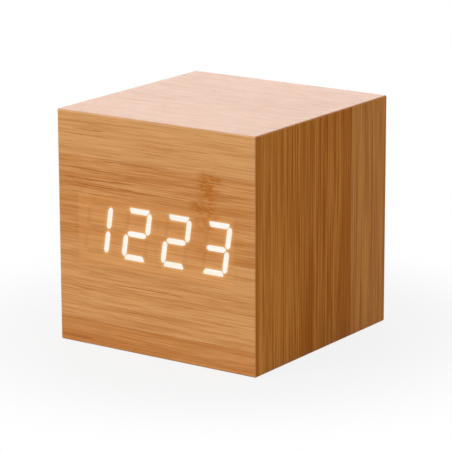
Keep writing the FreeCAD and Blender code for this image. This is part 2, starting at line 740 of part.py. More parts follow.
def make_battery_box():
    """One moulding: three round cradles, contact slots, a flange on the back and snap barbs behind it."""
    box_z = BOX_BOTTOM + BOX_H / 2
    rim = box(-BOX_W / 2, BOX_W / 2, CELL_Y, FLANGE_FACE, BOX_BOTTOM, BOX_TOP)
    troughs = [rod(2 * TROUGH_R, Vector(-BOX_W / 2, CELL_Y, z), X, BOX_W) for z in CELL_Z]
    ends = [
        box(x, x + BOX_END_T + CONTACT_SLOT + BOX_FLOOR_T, BOX_FRONT, CELL_Y, BOX_BOTTOM, BOX_TOP)
        for x in (-BOX_W / 2, BOX_W / 2 - BOX_END_T - CONTACT_SLOT - BOX_FLOOR_T)
    ]
    flange = rounded_block(
        0, box_z, BOX_W + 2 * FLANGE_LIP, BOX_H + 2 * FLANGE_LIP, FLANGE_INNER, FLANGE_FACE, FLANGE_R
    )
    outer_edges = [e for e in flange.Edges if e.BoundBox.YMin > FLANGE_FACE - 1e-6]
    flange = flange.makeChamfer(FLANGE_CHAMFER, outer_edges)
    barbs = [snap_barb(sx * BARB_X, sz) for sx in (-1, 1) for sz in (-1, 1)]
    shell = fuse([flange, rim] + troughs + ends + barbs)

    bay = box(-BAY_L / 2, BAY_L / 2, CELL_Y, FLANGE_FACE, BAY_BOTTOM, BAY_TOP)
    cradles = [rod(2 * CRADLE_R, Vector(-BAY_L / 2, CELL_Y, z), X, BAY_L) for z in CELL_Z]
    slots = [
        box(x - CONTACT_SLOT, x, CRADLE_BOTTOM, DOOR_INNER, BAY_BOTTOM, BAY_TOP)
        for x in (BAY_L / 2, -BAY_L / 2 + CONTACT_SLOT)
    ]
    recess_w = BAY_L + 2 * DOOR_LEDGE
    recess = rounded_block(
        0, (RECESS_BOTTOM + RECESS_TOP) / 2, recess_w, RECESS_TOP - RECESS_BOTTOM,
        DOOR_INNER, FLANGE_FACE, DOOR_R,
    )
    sill = box(-recess_w / 2, recess_w / 2, DOOR_INNER, FLANGE_FACE, RECESS_BOTTOM, BAY_BOTTOM + DOOR_R)
    tab_slots = [
        centred(x, (BOX_FRONT + CRADLE_BOTTOM) / 2, z, CONTACT_SLOT, BOX_FLOOR_T, TAB_W + 2 * CRADLE_GAP)
        for x, z in terminal_tabs()
    ]
    hook_slots = [hook_slot(sx * HOOK_X) for sx in (-1, 1)]
    notch = finger_notch(RECESS_TOP)
    keep("battery_box", cut(shell, [bay, recess, sill, notch] + cradles + slots + tab_slots + hook_slots))


def snap_barb(x, side):
    """A ramp on the box's top (side 1) or underside (side -1) that snaps in behind the back board."""
    y = CAVITY_BACK - BOX_FIT
    face = BOX_TOP if side > 0 else BOX_BOTTOM
    outline = [(y, -BOX_FIT), (y, BARB_OUT), (y - BARB_L, 0), (y - BARB_L, -BOX_FIT)]
    return prism([Vector(x - BARB_W / 2, a, face + side * b) for a, b in outline], X * BARB_W)


def hook_slot(x):
    """The way for one door hook through the box's lower wall, behind the flange's sill."""
    outline = [
        (CELL_Y, BAY_BOTTOM), (CELL_Y, BOX_BOTTOM), (FLANGE_INNER, BOX_BOTTOM),
        (FLANGE_INNER, RECESS_BOTTOM), (DOOR_INNER, RECESS_BOTTOM), (DOOR_INNER, BAY_BOTTOM),
    ]
    width = HOOK_W + 2 * HOOK_CLEAR
    return prism([Vector(x - width / 2, y, z) for y, z in outline], X * width)


def finger_notch(z):
    """A shallow scoop that lets a fingertip reach the top edge of the door."""
    radius = (NOTCH_W ** 2 / 4 + NOTCH_DEPTH ** 2) / (2 * NOTCH_DEPTH)
    start = Vector(0, FLANGE_FACE + radius - NOTCH_DEPTH, z - NOTCH_REACH)
    return rod(2 * radius, start, Z, 2 * NOTCH_REACH)


def make_battery_door():
    """The door: a plate with a round lower edge to tilt on, two hooks under the sill, ribs and grips."""
    width = BAY_L + 2 * DOOR_LEDGE - 2 * DOOR_GAP
    top = RECESS_TOP - DOOR_GAP
    corner = DOOR_R
    plate = rounded_block(0, (HINGE_Z + top) / 2, width, top - HINGE_Z, DOOR_INNER, FLANGE_FACE, corner)
    skirt = box(-width / 2, width / 2, DOOR_INNER, FLANGE_FACE, HINGE_Z, HINGE_Z + 2 * corner)
    edge = rod(2 * HINGE_R, Vector(-width / 2, HINGE_Y, HINGE_Z), X, width)
    hooks = [door_hook(sx * HOOK_X) for sx in (-1, 1)]
    valleys = [(a + b) / 2 for a, b in zip(CELL_Z, CELL_Z[1:])]
    rib_w = BAY_L - 2 * SPRING_L - 4 * CONTACT_SLOT
    ribs = [
        centred(0, DOOR_INNER - RIB_H / 2, z, rib_w, RIB_H, RIB_T) for z in valleys
    ]
    grips = []
    grip_w = TONGUE_W - 2 * GRIP_MARGIN
    for i in range(GRIP_COUNT):
        z = top - TONGUE_L + GRIP_PITCH * (i + 1)
        grips.append(rod(2 * GRIP_R, Vector(-grip_w / 2, FLANGE_FACE - GRIP_R / 2, z), X, grip_w))
    nose = rod(NOSE_T, Vector(-grip_w / 2, DOOR_INNER + NOSE_T / 2, top + NOSE_OUT - NOSE_T / 2), X, grip_w)
    slits = [
        centred(sx * TONGUE_W / 2, (DOOR_INNER + FLANGE_FACE) / 2, top, TONGUE_SLIT, 2 * DOOR_T, 2 * TONGUE_L)
        for sx in (-1, 1)
    ]
    door = fuse([plate, skirt, edge] + hooks + ribs + grips)
    door = cut(door, slits + [finger_notch(RECESS_TOP)])
    keep("battery_door", fuse([door, nose]))


def door_hook(x):
    """A hook that reaches down behind the flange, clear of it as the door tilts."""
    behind = FLANGE_INNER - HOOK_CLEAR
    foot = RECESS_BOTTOM - HOOK_REACH
    outline = [
        (DOOR_INNER, HINGE_Z + 2 * HOOK_T), (DOOR_INNER, HINGE_Z - HOOK_CLEAR), (behind, HINGE_Z - HINGE_R),
        (behind, foot), (behind - HOOK_T, foot), (behind - HOOK_T, HINGE_Z + HOOK_T),
    ]
    points = [Vector(x - HOOK_W / 2, y, z) for y, z in outline]
    return prism(points, X * HOOK_W)


def cell_heading(i):
    """+1 where cell i points its positive end towards +X, and -1 where it points towards -X."""
    return 1 if i % 2 else -1


def make_cells():
    """Three AAA cells in series, each pointing the other way from its neighbours."""
    for i, name in enumerate(("lower", "middle", "upper")):
        heading = cell_heading(i)
        base = Vector(heading * (CELL_START - CELL_L), CELL_Y, CELL_Z[i])
        can_l = CELL_L - NUB_L
        outline = [
            (0, 0), (CELL_D / 2, 0), (CELL_D / 2, can_l), (NUB_D / 2, can_l), (NUB_D / 2, CELL_L), (0, CELL_L)
        ]
        keep(name + "_cell", turned(outline, base, X * heading))


def contact_plate(end, cells, tab):
    """A contact against the box's end wall at X = end * half the bay, over the given cells."""
    x0, x1 = sorted((end * BAY_L / 2, end * PLATE_X))
    low, high = CELL_Z[cells[0]] - CONTACT_W / 2, CELL_Z[cells[-1]] + CONTACT_W / 2
    foot = CRADLE_BOTTOM + CRADLE_GAP
    shapes = [box(x0, x1, foot, CELL_Y + CONTACT_W / 2, low, high)]
    for i in cells:
        if cell_heading(i) == end:
            r = DIMPLE_D / 2
            outline = [(0, 0), (r, 0), (r - DIMPLE_H, DIMPLE_H), (0, DIMPLE_H)]
            shapes.append(turned(outline, Vector(end * PLATE_X, CELL_Y, CELL_Z[i]), X * -end))
    if tab:
        z = CELL_Z[cells[0]]
        shapes.append(box(x0, x1, BOX_FRONT - TAB_OUT, foot, z - TAB_W / 2, z + TAB_W / 2))
    return fuse(shapes)


def terminal_tabs():
    """Where the two solder tabs pass through the floor of the box, as (x, z)."""
    x = BAY_L / 2 - CONTACT_SLOT / 2
    return [(-x, CELL_Z[0]), (x, CELL_Z[-1])]


def contact_spring(end, z):
    """A conical spring from a contact plate to the flat end of a cell, lofted through six-sided sections."""
    height = SPRING_L - SPRING_WIRE_D - 2 * PILOT_FIT
    steps = int(SPRING_TURNS * SPRING_SECTIONS)
    centres = []
    for i in range(-1, steps + 2):
        share = i / steps
        angle = math.tau * SPRING_TURNS * share
        radius = SPRING_TIP_R + (SPRING_BASE_R - SPRING_TIP_R) * share
        centres.append(Vector(radius * math.cos(angle), radius * math.sin(angle), height * share))
    sections = []
    for before, centre, after in zip(centres, centres[1:], centres[2:]):
        out = Vector(centre.x, centre.y, 0).normalize()
        up = (after - before).cross(out).normalize()
        sections.append(six_sided(centre, out, up, SPRING_WIRE_D))
    spring = Part.makeLoft(sections, True, True)
    tip = end * (PLATE_X - SPRING_L + SPRING_WIRE_D / 2 + PILOT_FIT)
    spring.Placement = FreeCAD.Placement(Vector(tip, CELL_Y, z), Rotation(Z, X * end))
    return spring


def make_contacts():
    """Terminals at the two ends of the series, bridges between the cells, and a spring for each."""
    last = CELL_COUNT - 1
    keep("positive_terminal", contact_plate(-1, [0], True))
    keep("left_bridge_contact", contact_plate(-1, [1, 2], False))
    keep("right_bridge_contact", contact_plate(1, [0, 1], False))
    keep("negative_terminal", contact_plate(1, [last], True))
    keep("contact_springs", [contact_spring(-cell_heading(i), CELL_Z[i]) for i in range(CELL_COUNT)])


def make_leads():
    """The red and black wires from the box's two solder tabs up to the main board."""
    start_y = BOX_FRONT - TAB_OUT - LEAD_D / 2
    for (x, z), name in zip(terminal_tabs(), ("red_lead", "black_lead")):
        top_x, bend_y = x - math.copysign(LEAD_REACH, x), start_y - LEAD_REACH
        path = [Vector(x, start_y, z), Vector(top_x, bend_y, z), Vector(top_x, bend_y, MAIN_BOTTOM)]
        across = Z.cross(path[1] - path[0]).normalize()
        keep(name, swept(path, six_sided(path[0], across, Z, LEAD_D)))


# ---------------------------------------------------------------- build

make_case()
make_display()
make_ribbon()
make_main_board()
make_buttons()
make_jack()
make_battery_box()
make_battery_door()
make_cells()
make_contacts()
make_leads()

os.makedirs("parts", exist_ok=True)
for node, shape in NODES.items():
    shape.exportStep(f"parts/{node}.step")
    print(f"{node:22s} solids {len(shape.Solids):3d}  volume {shape.Volume:9.2f}  valid {shape.isValid()}")
print(f"case edge {CUBE:.2f}  hinge y {HINGE_Y:.3f} z {HINGE_Z:.3f}  buttons z {BUTTON_Z:.3f}")
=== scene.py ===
import json
import math

import bmesh
import bpy
from mathutils import Euler, Matrix, Vector


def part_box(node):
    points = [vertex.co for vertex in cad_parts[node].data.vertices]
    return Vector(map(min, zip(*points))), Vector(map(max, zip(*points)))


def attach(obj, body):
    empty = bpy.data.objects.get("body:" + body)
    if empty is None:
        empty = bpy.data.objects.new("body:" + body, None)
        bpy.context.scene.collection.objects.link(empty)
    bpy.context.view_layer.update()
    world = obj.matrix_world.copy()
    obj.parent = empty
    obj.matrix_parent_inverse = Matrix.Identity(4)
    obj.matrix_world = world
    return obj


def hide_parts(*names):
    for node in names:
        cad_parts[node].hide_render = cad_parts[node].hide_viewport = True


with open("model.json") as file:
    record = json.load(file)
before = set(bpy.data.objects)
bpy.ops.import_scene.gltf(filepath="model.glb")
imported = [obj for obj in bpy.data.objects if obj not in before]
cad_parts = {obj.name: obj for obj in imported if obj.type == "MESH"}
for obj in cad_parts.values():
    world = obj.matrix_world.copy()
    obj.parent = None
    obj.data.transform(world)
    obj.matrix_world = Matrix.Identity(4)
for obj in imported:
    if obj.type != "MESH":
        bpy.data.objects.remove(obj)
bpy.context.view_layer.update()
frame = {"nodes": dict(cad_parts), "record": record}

MM = 0.001
NODES = frame["nodes"]
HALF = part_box("front_veneer")[1].x
BODY_OF = {node: body for body, nodes in frame["record"]["behaviour"]["bodies"].items() for node in nodes}
TO_BACK, TO_FRONT = Vector((0, 1, 0)), Vector((0, -1, 0))
TO_LEFT, TO_RIGHT = Vector((-1, 0, 0)), Vector((1, 0, 0))
UP, DOWN = Vector((0, 0, 1)), Vector((0, 0, -1))


# ---- writing node trees


def linear(colour):
    """A screen colour, red, green and blue from 0 to 255, as a shader takes it. Others stay as they are."""
    if not isinstance(colour, tuple) or len(colour) > 3:
        return colour
    shares = [c / 255 for c in colour]
    return (*[c / 12.92 if c <= 0.04045 else ((c + 0.055) / 1.055) ** 2.4 for c in shares], 1.0)


def worked_out(operation):
    """A method that adds one kind of arithmetic."""
    return lambda value, other: value.recipe.math(operation, value, other)


class Value:
    """One output of a step. Arithmetic with it adds the step that works out the result."""

    __add__, __sub__ = worked_out("ADD"), worked_out("SUBTRACT")
    __mul__, __truediv__ = worked_out("MULTIPLY"), worked_out("DIVIDE")

    def __init__(self, recipe, socket):
        self.recipe, self.socket = recipe, socket

    def __rsub__(self, other):
        return self.recipe.math("SUBTRACT", other, self)


class Recipe:
    """Fills one node tree step by step. A socket takes a number, a colour, a Value or a list of Values."""

    def __init__(self, tree):
        self.tree = tree

    def step(self, kind, inputs=None, **settings):
        """Adds a node, and returns its outputs by name and by number."""
        node = self.tree.nodes.new(kind)
        for name, value in settings.items():
            setattr(node, name, value)
        for name, value in (inputs or {}).items():
            for item in value if isinstance(value, list) else [value]:
                if isinstance(item, Value):
                    self.tree.links.new(item.socket, node.inputs[name])
                else:
                    node.inputs[name].default_value = item
        outputs = [Value(self, socket) for socket in node.outputs]
        return {**dict(enumerate(outputs)), **{output.socket.name: output for output in outputs}}

    def math(self, operation, *values):
        return self.step("ShaderNodeMath", dict(enumerate(values)), operation=operation)[0]

    def vector(self, operation, *values):
        return self.step("ShaderNodeVectorMath", dict(enumerate(values)), operation=operation)

    def split(self, vector):
        outputs = self.step("ShaderNodeSeparateXYZ", {"Vector": vector})
        return [outputs[axis] for axis in "XYZ"]

    def join(self, *numbers):
        return self.step("ShaderNodeCombineXYZ", dict(zip("XYZ", numbers)))[0]

    def noise(self, at, sizes=None, detail=2.0, roughness=0.5, seed=0.0, scale=1.0):
        """Soft noise from 0 to 1, drawn out to a size along each axis."""
        if sizes:
            sizes = self.join(*sizes) if isinstance(sizes[0], Value) else sizes
            at = self.vector("DIVIDE", at, sizes)[0]
        inputs = {"Vector": at, "W": seed, "Scale": scale, "Detail": detail, "Roughness": roughness}
        return self.step("ShaderNodeTexNoise", inputs, noise_dimensions="4D")[0]

    def ease(self, value, low, high, out_low=0.0, out_high=1.0):
        """Value from low to high becomes out_low to out_high, with soft ends and no further."""
        inputs = {"Value": value, "From Min": low, "From Max": high, "To Min": out_low, "To Max": out_high}
        return self.step("ShaderNodeMapRange", inputs, interpolation_type="SMOOTHSTEP")[0]

    def fade(self, value, low, high):
        """1 up to low, 0 from high on."""
        return self.ease(value, low, high, 1.0, 0.0)

    def blend(self, share, first, second):
        inputs = {0: share, 6: linear(first), 7: linear(second)}
        return self.step("ShaderNodeMix", inputs, data_type="RGBA")[2]

    def place(self, group, inputs):
        """Puts a group of steps into this tree with its own values, and returns its outputs."""
        return self.step("ShaderNodeGroup", inputs, node_tree=group)

    def socket(self, label, kind, way="INPUT"):
        return self.tree.interface.new_socket(name=label, in_out=way, socket_type="NodeSocket" + kind)

    def given(self):
        """What comes into a group, in the order of its inputs."""
        outputs = self.step("NodeGroupInput")
        return [outputs[i] for i in range(len(self.tree.interface.items_tree))]

    def close(self, results, kind="Float"):
        """Names a group's results, and returns the group."""
        for label in results:
            self.socket(label, kind, "OUTPUT")
        self.step("NodeGroupOutput", results)
        return self.tree


def shader_group(usual):
    """Makes a group of the function below it, which gets a recipe, Vector and the inputs named here."""

    def build(write):
        r = Recipe(bpy.data.node_groups.new(write.__name__, "ShaderNodeTree"))
        for label, value in {"Vector": (0, 0, 0), **usual}.items():
            kind = "Vector" if isinstance(value, tuple) else "Float"
            r.socket(label, kind).default_value = value
        return r.close(write(r, *r.given()))

    return build


# ---- shared finishes


@shader_group({
    "Strip Width": 22 * MM, "Strip Start": 0.0, "Fibre Width": 0.30 * MM, "Fibre Length": 9 * MM,
    "Wander": 0.25 * MM, "Seed": 0.0,
})
def bamboo_grain(r, at, strip_width, strip_start, width, length, wander, seed):
    """Pressed bamboo: side-by-side strips, long fibres along X and short dark pores among them."""
    along, across, depth = r.split(at)
    drift = r.noise(at, (45 * MM, 12 * MM, 12 * MM), 1.0, seed=seed)
    across = across + (drift - 0.5) * wander
    strip = (across - strip_start) / strip_width
    index, inside = r.math("FLOOR", strip), r.math("FRACT", strip)
    shift = index * 0.73 + seed
    at = r.join(along, across, depth)

    def fibres(length, width, detail, roughness, seed):
        return r.noise(at, (length, width, width), detail, roughness, seed)

    fibre = r.ease(fibres(length, width, 3.0, 0.6, shift), 0.3, 0.7)
    wide = r.ease(fibres(length * 2.5, width * 5.0, 2.0, 0.5, shift + 3.1), 0.3, 0.7)
    streak = r.ease(fibres(length * 1.8, width * 1.3, 2.0, 0.55, shift + 5.3), 0.56, 0.72)
    pore = r.ease(fibres(length * 0.35, width * 0.5, 1.0, 0.5, shift + 7.7), 0.58, 0.72)
    seam = r.fade(r.math("MINIMUM", inside, 1.0 - inside), 0.003, 0.011)
    tone = r.math("FRACT", index * 0.47 + seed) * 0.5 + wide * 0.5
    height = fibre * 0.6 - (pore * 0.7 + seam * 0.4)
    return {
        "Tone": tone, "Fibre": fibre, "Streak": streak, "Pore": pore, "Seam": seam, "Height": height,
    }


@shader_group({
    "Across": 0.0, "Start": 0.0, "End": 0.01, "Thickness": 0.3 * MM, "Fade": 5 * MM, "Slope": 0.0,
    "Strength": 0.5,
})
def dark_vein(r, at, middle, start, end, thickness, fade, slope, strength):
    """One long dark vein in the grain, between two places along it."""
    along, across, _ = r.split(at)
    waver = r.noise(at, (9 * MM, 60 * MM, 60 * MM), seed=middle)
    line = middle + (waver - 0.5) * (0.9 * MM) + (along - start) * slope
    near = r.fade(r.math("ABSOLUTE", across - line) / thickness, 0.25, 1.0)
    ends = r.ease(along, start, start + fade) * r.fade(along, end - fade, end)
    broken = r.noise(at, (3.5 * MM, 0.5 * MM, 0.5 * MM), 1.0, seed=2.0)
    mask = near * ends * r.ease(broken, 0.25, 0.55, 0.3, 1.0)
    return {"Mask": mask * strength}


@shader_group({"Along": 0.0, "Across": 0.0, "Length": 5 * MM, "Height": 6 * MM, "Seed": 0.0, "Strength": 0.5})
def culm_knot(r, at, knot_along, knot_across, length, height, seed, strength):
    """The smoky, reddish patch where a strip crosses a joint of the bamboo stem."""
    along, across, _ = r.split(at)
    waver = r.noise(at, (40 * MM, 3 * MM, 3 * MM), seed=seed)
    dx = (along - knot_along + (waver - 0.5) * (9 * MM)) / length
    dy = (across - knot_across) / height
    far = r.math("SQRT", dx * dx + dy * dy)
    smoke = r.noise(at, (3 * MM, 0.9 * MM, 0.9 * MM), 3.0, 0.6, seed)
    flecks = r.noise(at, (1.6 * MM, 0.3 * MM, 0.3 * MM), 2.0, 0.6, seed)
    smoke = r.ease(smoke, 0.33, 0.62, 0.15, 1.0) * r.ease(flecks, 0.36, 0.62, 0.2, 1.0)
    mask = r.fade(far, 0.2, 1.0) * smoke
    return {"Mask": r.math("MINIMUM", mask * strength, 1.0)}


# Used for the lighter edges of the bamboo, which are partly rubbed wear and partly a painted highlight.
@shader_group({"Half": 31 * MM, "Width": 0.5 * MM, "Breakup": 0.5})
def edge_wear_and_highlight(r, at, half, width, breakup):
    """How close a place on the cube is to one of its twelve edges, broken up by a fine noise."""
    x, y, z = r.split(at)
    *sides, top = [half - r.math("ABSOLUTE", c) for c in (x, y, z - half)]
    low, high = r.math("MINIMUM", *sides), r.math("MAXIMUM", *sides)
    second = r.math("MAXIMUM", low, r.math("MINIMUM", high, top))
    rough = r.noise(at, (2 * MM, 2 * MM, 2 * MM), 3.0, 0.6)
    reach = width * ((rough - 0.5) * breakup + 1.0)
    return {"Mask": r.fade(second / reach, 0.3, 1.0)}


@shader_group({"Cloud": 6 * MM, "Grit": 0.15 * MM})
def fine_speckle(r, at, cloud, grit):
    """Dust and handling: a cloudy value for roughness and colour, and a fine value for the surface."""
    cloud = r.noise(at, [cloud] * 3, 3.0, 0.55)
    grit = r.noise(at, [grit] * 3, 2.0, 0.55)
    return {"Cloud": r.ease(cloud, 0.3, 0.7), "Grit": r.ease(grit, 0.3, 0.7)}


@shader_group({"Pitch": 0.05 * MM, "Length": 4 * MM})
def drawn_lines(r, at, pitch, length):
    """Fine parallel marks along X, as on rolled, drawn or brushed metal."""
    marks = r.noise(at, (length, pitch, pitch), 2.0, 0.6)
    return {"Lines": r.ease(marks, 0.3, 0.7)}


@shader_group({"Middle": (0, 0, 0), "Half Width": 25 * MM, "Half Height": 9.5 * MM, "Soft": 0.6 * MM})
def soft_window(r, at, middle, half_width, half_height, soft):
    """A rectangle in the XZ plane, its sides soft."""
    x, _, z = r.split(r.vector("SUBTRACT", at, middle)[0])
    wide, tall = [
        r.fade(r.math("ABSOLUTE", value) - half, soft * -1.0, soft)
        for value, half in ((x, half_width), (z, half_height))
    ]
    return {"Mask": wide * tall}


class Finish(Recipe):
    """The recipe of a new material, which starts from the object's own coordinates."""

    def __init__(self, name):
        self.material = bpy.data.materials.new(name)
        self.material.use_nodes = True
        super().__init__(self.material.node_tree)
        self.tree.nodes.clear()
        self.at = self.step("ShaderNodeTexCoord")["Object"]

    def turned(self, turn):
        """The coordinates turned so that the grain runs along X."""
        return self.step("ShaderNodeMapping", {"Vector": self.at, "Rotation": turn})[0]

    def stored(self, name):
        """A value that the mesh keeps at its corners."""
        return self.step("ShaderNodeAttribute", attribute_name=name)["Fac"]

    def speckle(self, cloud, grit):
        """Clouds and grit of given sizes in millimetres."""
        speckle = self.place(fine_speckle, {"Vector": self.at, "Cloud": cloud * MM, "Grit": grit * MM})
        return speckle["Cloud"], speckle["Grit"]

    def surface(self, shader):
        self.step("ShaderNodeOutputMaterial", {"Surface": shader})
        return self.material

    def look(self, colour, roughness, height, depth, strength, **others):
        """The finished material. Its relief is height, and as deep as depth in millimetres."""
        relief = self.step("ShaderNodeBump", {"Strength": strength, "Distance": depth * MM, "Height": height})
        inputs = {"Base Color": colour, "Roughness": roughness, "Normal": relief[0]}
        inputs.update({name.replace("_", " "): value for name, value in others.items()})
        return self.surface(self.step("ShaderNodeBsdfPrincipled", inputs)[0])


# ---- bamboo

ALONG_X_UP_Z = Euler((math.radians(-90), 0, 0))
ALONG_Z_ACROSS_Y = Euler((0, math.radians(90), 0))
ALONG_X_ACROSS_Y = Euler((0, 0, 0))
STRIP_WIDTH = 21.9 * MM
BAND_EDGE = 0.4
MARK_SHARES = {"Streak": 0.42, "Pore": 0.35, "Seam": 0.30}
# The share of the edge lightening, partly wear and partly a painted highlight, and the share of dust.
WORN_AND_HIGHLIGHT_SHARE, DUST_SHARE = 0.25, 0.20
LACQUER_ROUGHNESS = 0.36
FRONT_STRIP, FRONT_SEED = 6.5, 0.20
WINDOW_LIGHT_SHARE, WELL_SHADE_SHARE, DISPLAY_GLOW = 0.30, 0.16, 0.20
NO_LIGHT = (0, 0, 0)

# Each bamboo's light and dark wood, its pores, its stem joints and its worn edges, which also carry a painted
# highlight.
# The first is the wood's own colour. The second is the same wood in a deeper amber, as painted shade for the
# right side.
# The third is the same wood in a pinker, duller copy, as a painted sheen for the top.
HONEY = ((228, 170, 106), (190, 121, 50), (162, 92, 26), (180, 102, 18), (232, 190, 140))
AMBER_PAINTED_SHADE = ((241, 163, 76), (188, 104, 22), (165, 84, 6), (150, 76, 10), (224, 160, 90))
PALE_PAINTED_SHEEN = ((214, 153, 110), (197, 133, 86), (174, 109, 60), (170, 104, 48), (232, 190, 140))


def bamboo(
    name, woods, turn, seed, strip_start, bands=(), veins=(), knots=(),
    specular=0.25, fibre_length=9, display=None,
):
    """Lacquered bamboo veneer. turn brings the grain to X and the strips' width to Y."""
    light_wood, dark_wood, pore, joint, worn_wood_and_highlight = woods
    r = Finish(name)
    at = r.turned(turn)
    across = r.split(at)[1]
    grain = r.place(bamboo_grain, {
        "Vector": at, "Strip Width": STRIP_WIDTH, "Strip Start": strip_start * MM, "Seed": seed,
        "Fibre Length": fibre_length * MM,
    })
    colour = r.blend(r.ease(grain["Tone"] * 0.5 + grain["Fibre"] * 0.5, 0.18, 0.84), light_wood, dark_wood)
    for low, high, tint, share in bands:
        rises = r.ease(across, (low - BAND_EDGE) * MM, (low + BAND_EDGE) * MM)
        falls = r.fade(across, (high - BAND_EDGE) * MM, (high + BAND_EDGE) * MM)
        colour = r.blend(rises * falls * share, colour, tint)
    for mark, share in MARK_SHARES.items():
        colour = r.blend(grain[mark] * share, colour, pore)
    for group, mark, rows, tint in ((dark_vein, vein, veins, pore), (culm_knot, knot, knots, joint)):
        for sizes in rows:
            colour = r.blend(r.place(group, {"Vector": at, **mark(*sizes)})["Mask"], colour, tint)
    # Lighter edges: partly rubbed wear, partly a painted highlight where the edges catch the light. The wear
    # also roughens them.
    worn_and_highlight = r.place(edge_wear_and_highlight, {"Vector": r.at, "Half": HALF, "Width": 0.32 * MM, "Breakup": 0.9})["Mask"]
    colour = r.blend(worn_and_highlight * WORN_AND_HIGHLIGHT_SHARE, colour, worn_wood_and_highlight)
    cloud, grit = r.speckle(9, 0.2)
    colour = r.blend(grit * DUST_SHARE, colour, pore)
    roughness = grain["Pore"] * 0.16 + cloud * 0.03 + LACQUER_ROUGHNESS + worn_and_highlight * 0.1
    height = grain["Height"] + grit * 0.12
    others = {"Specular_IOR_Level": specular}
    if display:
        colour, others["Emission_Color"] = display(r, colour)
        others["Emission_Strength"] = DISPLAY_GLOW
    return r.look(colour, roughness, height, depth=0.025, strength=0.6, **others)


def vein(across, start, end, thickness=0.22, fade=5.0, strength=0.5, slope=0.0):
    """One dark vein, its sizes in millimetres."""
    return {
        "Across": across * MM, "Start": start * MM, "End": end * MM,
        "Thickness": thickness * MM, "Fade": fade * MM, "Slope": slope, "Strength": strength,
    }


def knot(along, across, length, height, seed=0.0, strength=0.5):
    """One stem joint, its sizes in millimetres."""
    return {
        "Along": along * MM, "Across": across * MM, "Length": length * MM, "Height": height * MM,
        "Seed": seed, "Strength": strength,
    }


# The front's bands by height. The lowest strip and a thin band near the bottom edge are darker, so the front
# is darker towards the bottom.
FRONT_BANDS = [
    (-1, 6.5, (192, 118, 52), 0.35), (28.4, 50.2, (196, 124, 64), 0.22), (6.5, 28.4, (202, 144, 88), 0.25),
    (50.2, 63, (206, 152, 96), 0.35), (1.2, 2.6, (176, 98, 34), 0.25),
]
FRONT_VEINS = [
    (17.6, -15, 11, 0.22, 5, 0.84), (57.6, -27, -14, 0.26, 4, 0.70), (49.8, -21, 4, 0.22, 5, 0.84),
    (47.3, -33, -8, 0.26, 8, 0.70, -0.010), (46.6, -26, -2, 0.20, 6, 0.63),
    (44.6, -33, -5, 0.28, 6, 0.91), (43.2, -33, 4, 0.26, 8, 0.91, -0.012),
    (42.4, -30, -12, 0.20, 6, 0.70), (40.8, -33, -9, 0.24, 6, 0.77), (39.4, -24, 12, 0.20, 8, 0.49),
    (36.5, -33, -18, 0.22, 6, 0.63), (34.0, -26, -14, 0.24, 5, 0.63), (30.4, 9, 22, 0.26, 5, 0.70),
    (31.2, -30, -12, 0.22, 6, 0.56), (19.0, 14, 33, 0.20, 6, 0.49), (15.2, -27, -18, 0.24, 4, 0.70),
    (10.6, -18, 8, 0.20, 8, 0.56, 0.02), (12.9, -22, -2, 0.18, 6, 0.49), (45.6, 12, 33, 0.26, 6, 0.49),
    (48.6, 6, 24, 0.24, 6, 0.63), (1.8, -33, -18, 0.6, 6, 0.70),
]
FRONT_KNOTS = [
    (17.0, 47.6, 6.0, 5.2, 1.0, 1.6), (15.8, 40.0, 5.5, 7.0, 2.0, 2.4),
    (15.0, 31.0, 7.0, 4.0, 3.0, 0.9), (0, 55.0, 12, 2.2, 4.0, 0.34),
]
RIGHT_BANDS = [
    (-10.4, -5.6, (184, 98, 14), 0.24), (8.4, 13.3, (184, 98, 14), 0.35),
    (13.4, 32, (250, 186, 132), 0.14), (-31.5, -29.6, (178, 90, 10), 0.30),
]
RIGHT_VEINS = [
    (-24.6, 5, 65, 0.30, 9), (-12.2, 30, 65, 0.25, 9), (-5.0, -3, 65, 0.30, 6),
    (4.6, -3, 40, 0.25, 9), (13.2, -3, 65, 0.35, 3, 0.4),
]
TOP_VEINS = [(-13.0, -29, -24, 0.35, 2), (-20.4, 15.5, 22.5, 0.45, 3), (17, 12, 22, 0.3, 4, 0.3)]
BACK_VEINS = [(57.2, -20, 30, 0.26), (48, -33, 12, 0.24, 8)]


def display_light(r, colour):
    """The display as it comes through the front: a warm field of painted light over the window, darker wells
    of painted shade where the mask behind the veneer is open, and a glow round the lit ones.
    """
    low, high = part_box("diffuser_film")
    window = r.place(soft_window, {
        "Vector": r.at, "Middle": (low + high) / 2, "Half Width": (high.x - low.x) / 2 - 0.7 * MM,
        "Half Height": (high.z - low.z) / 2 - 0.2 * MM, "Soft": 0.5 * MM,
    })["Mask"]
    # Painted light over the display window, then painted shade over the open wells, as they would show
    # through the thin veneer.
    colour = r.blend(window * WINDOW_LIGHT_SHARE, colour, (228, 156, 86))
    colour = r.blend(window * r.stored("well") * WELL_SHADE_SHARE, colour, (146, 108, 54))
    return colour, r.blend(r.stored("glow"), NO_LIGHT, (255, 222, 168))


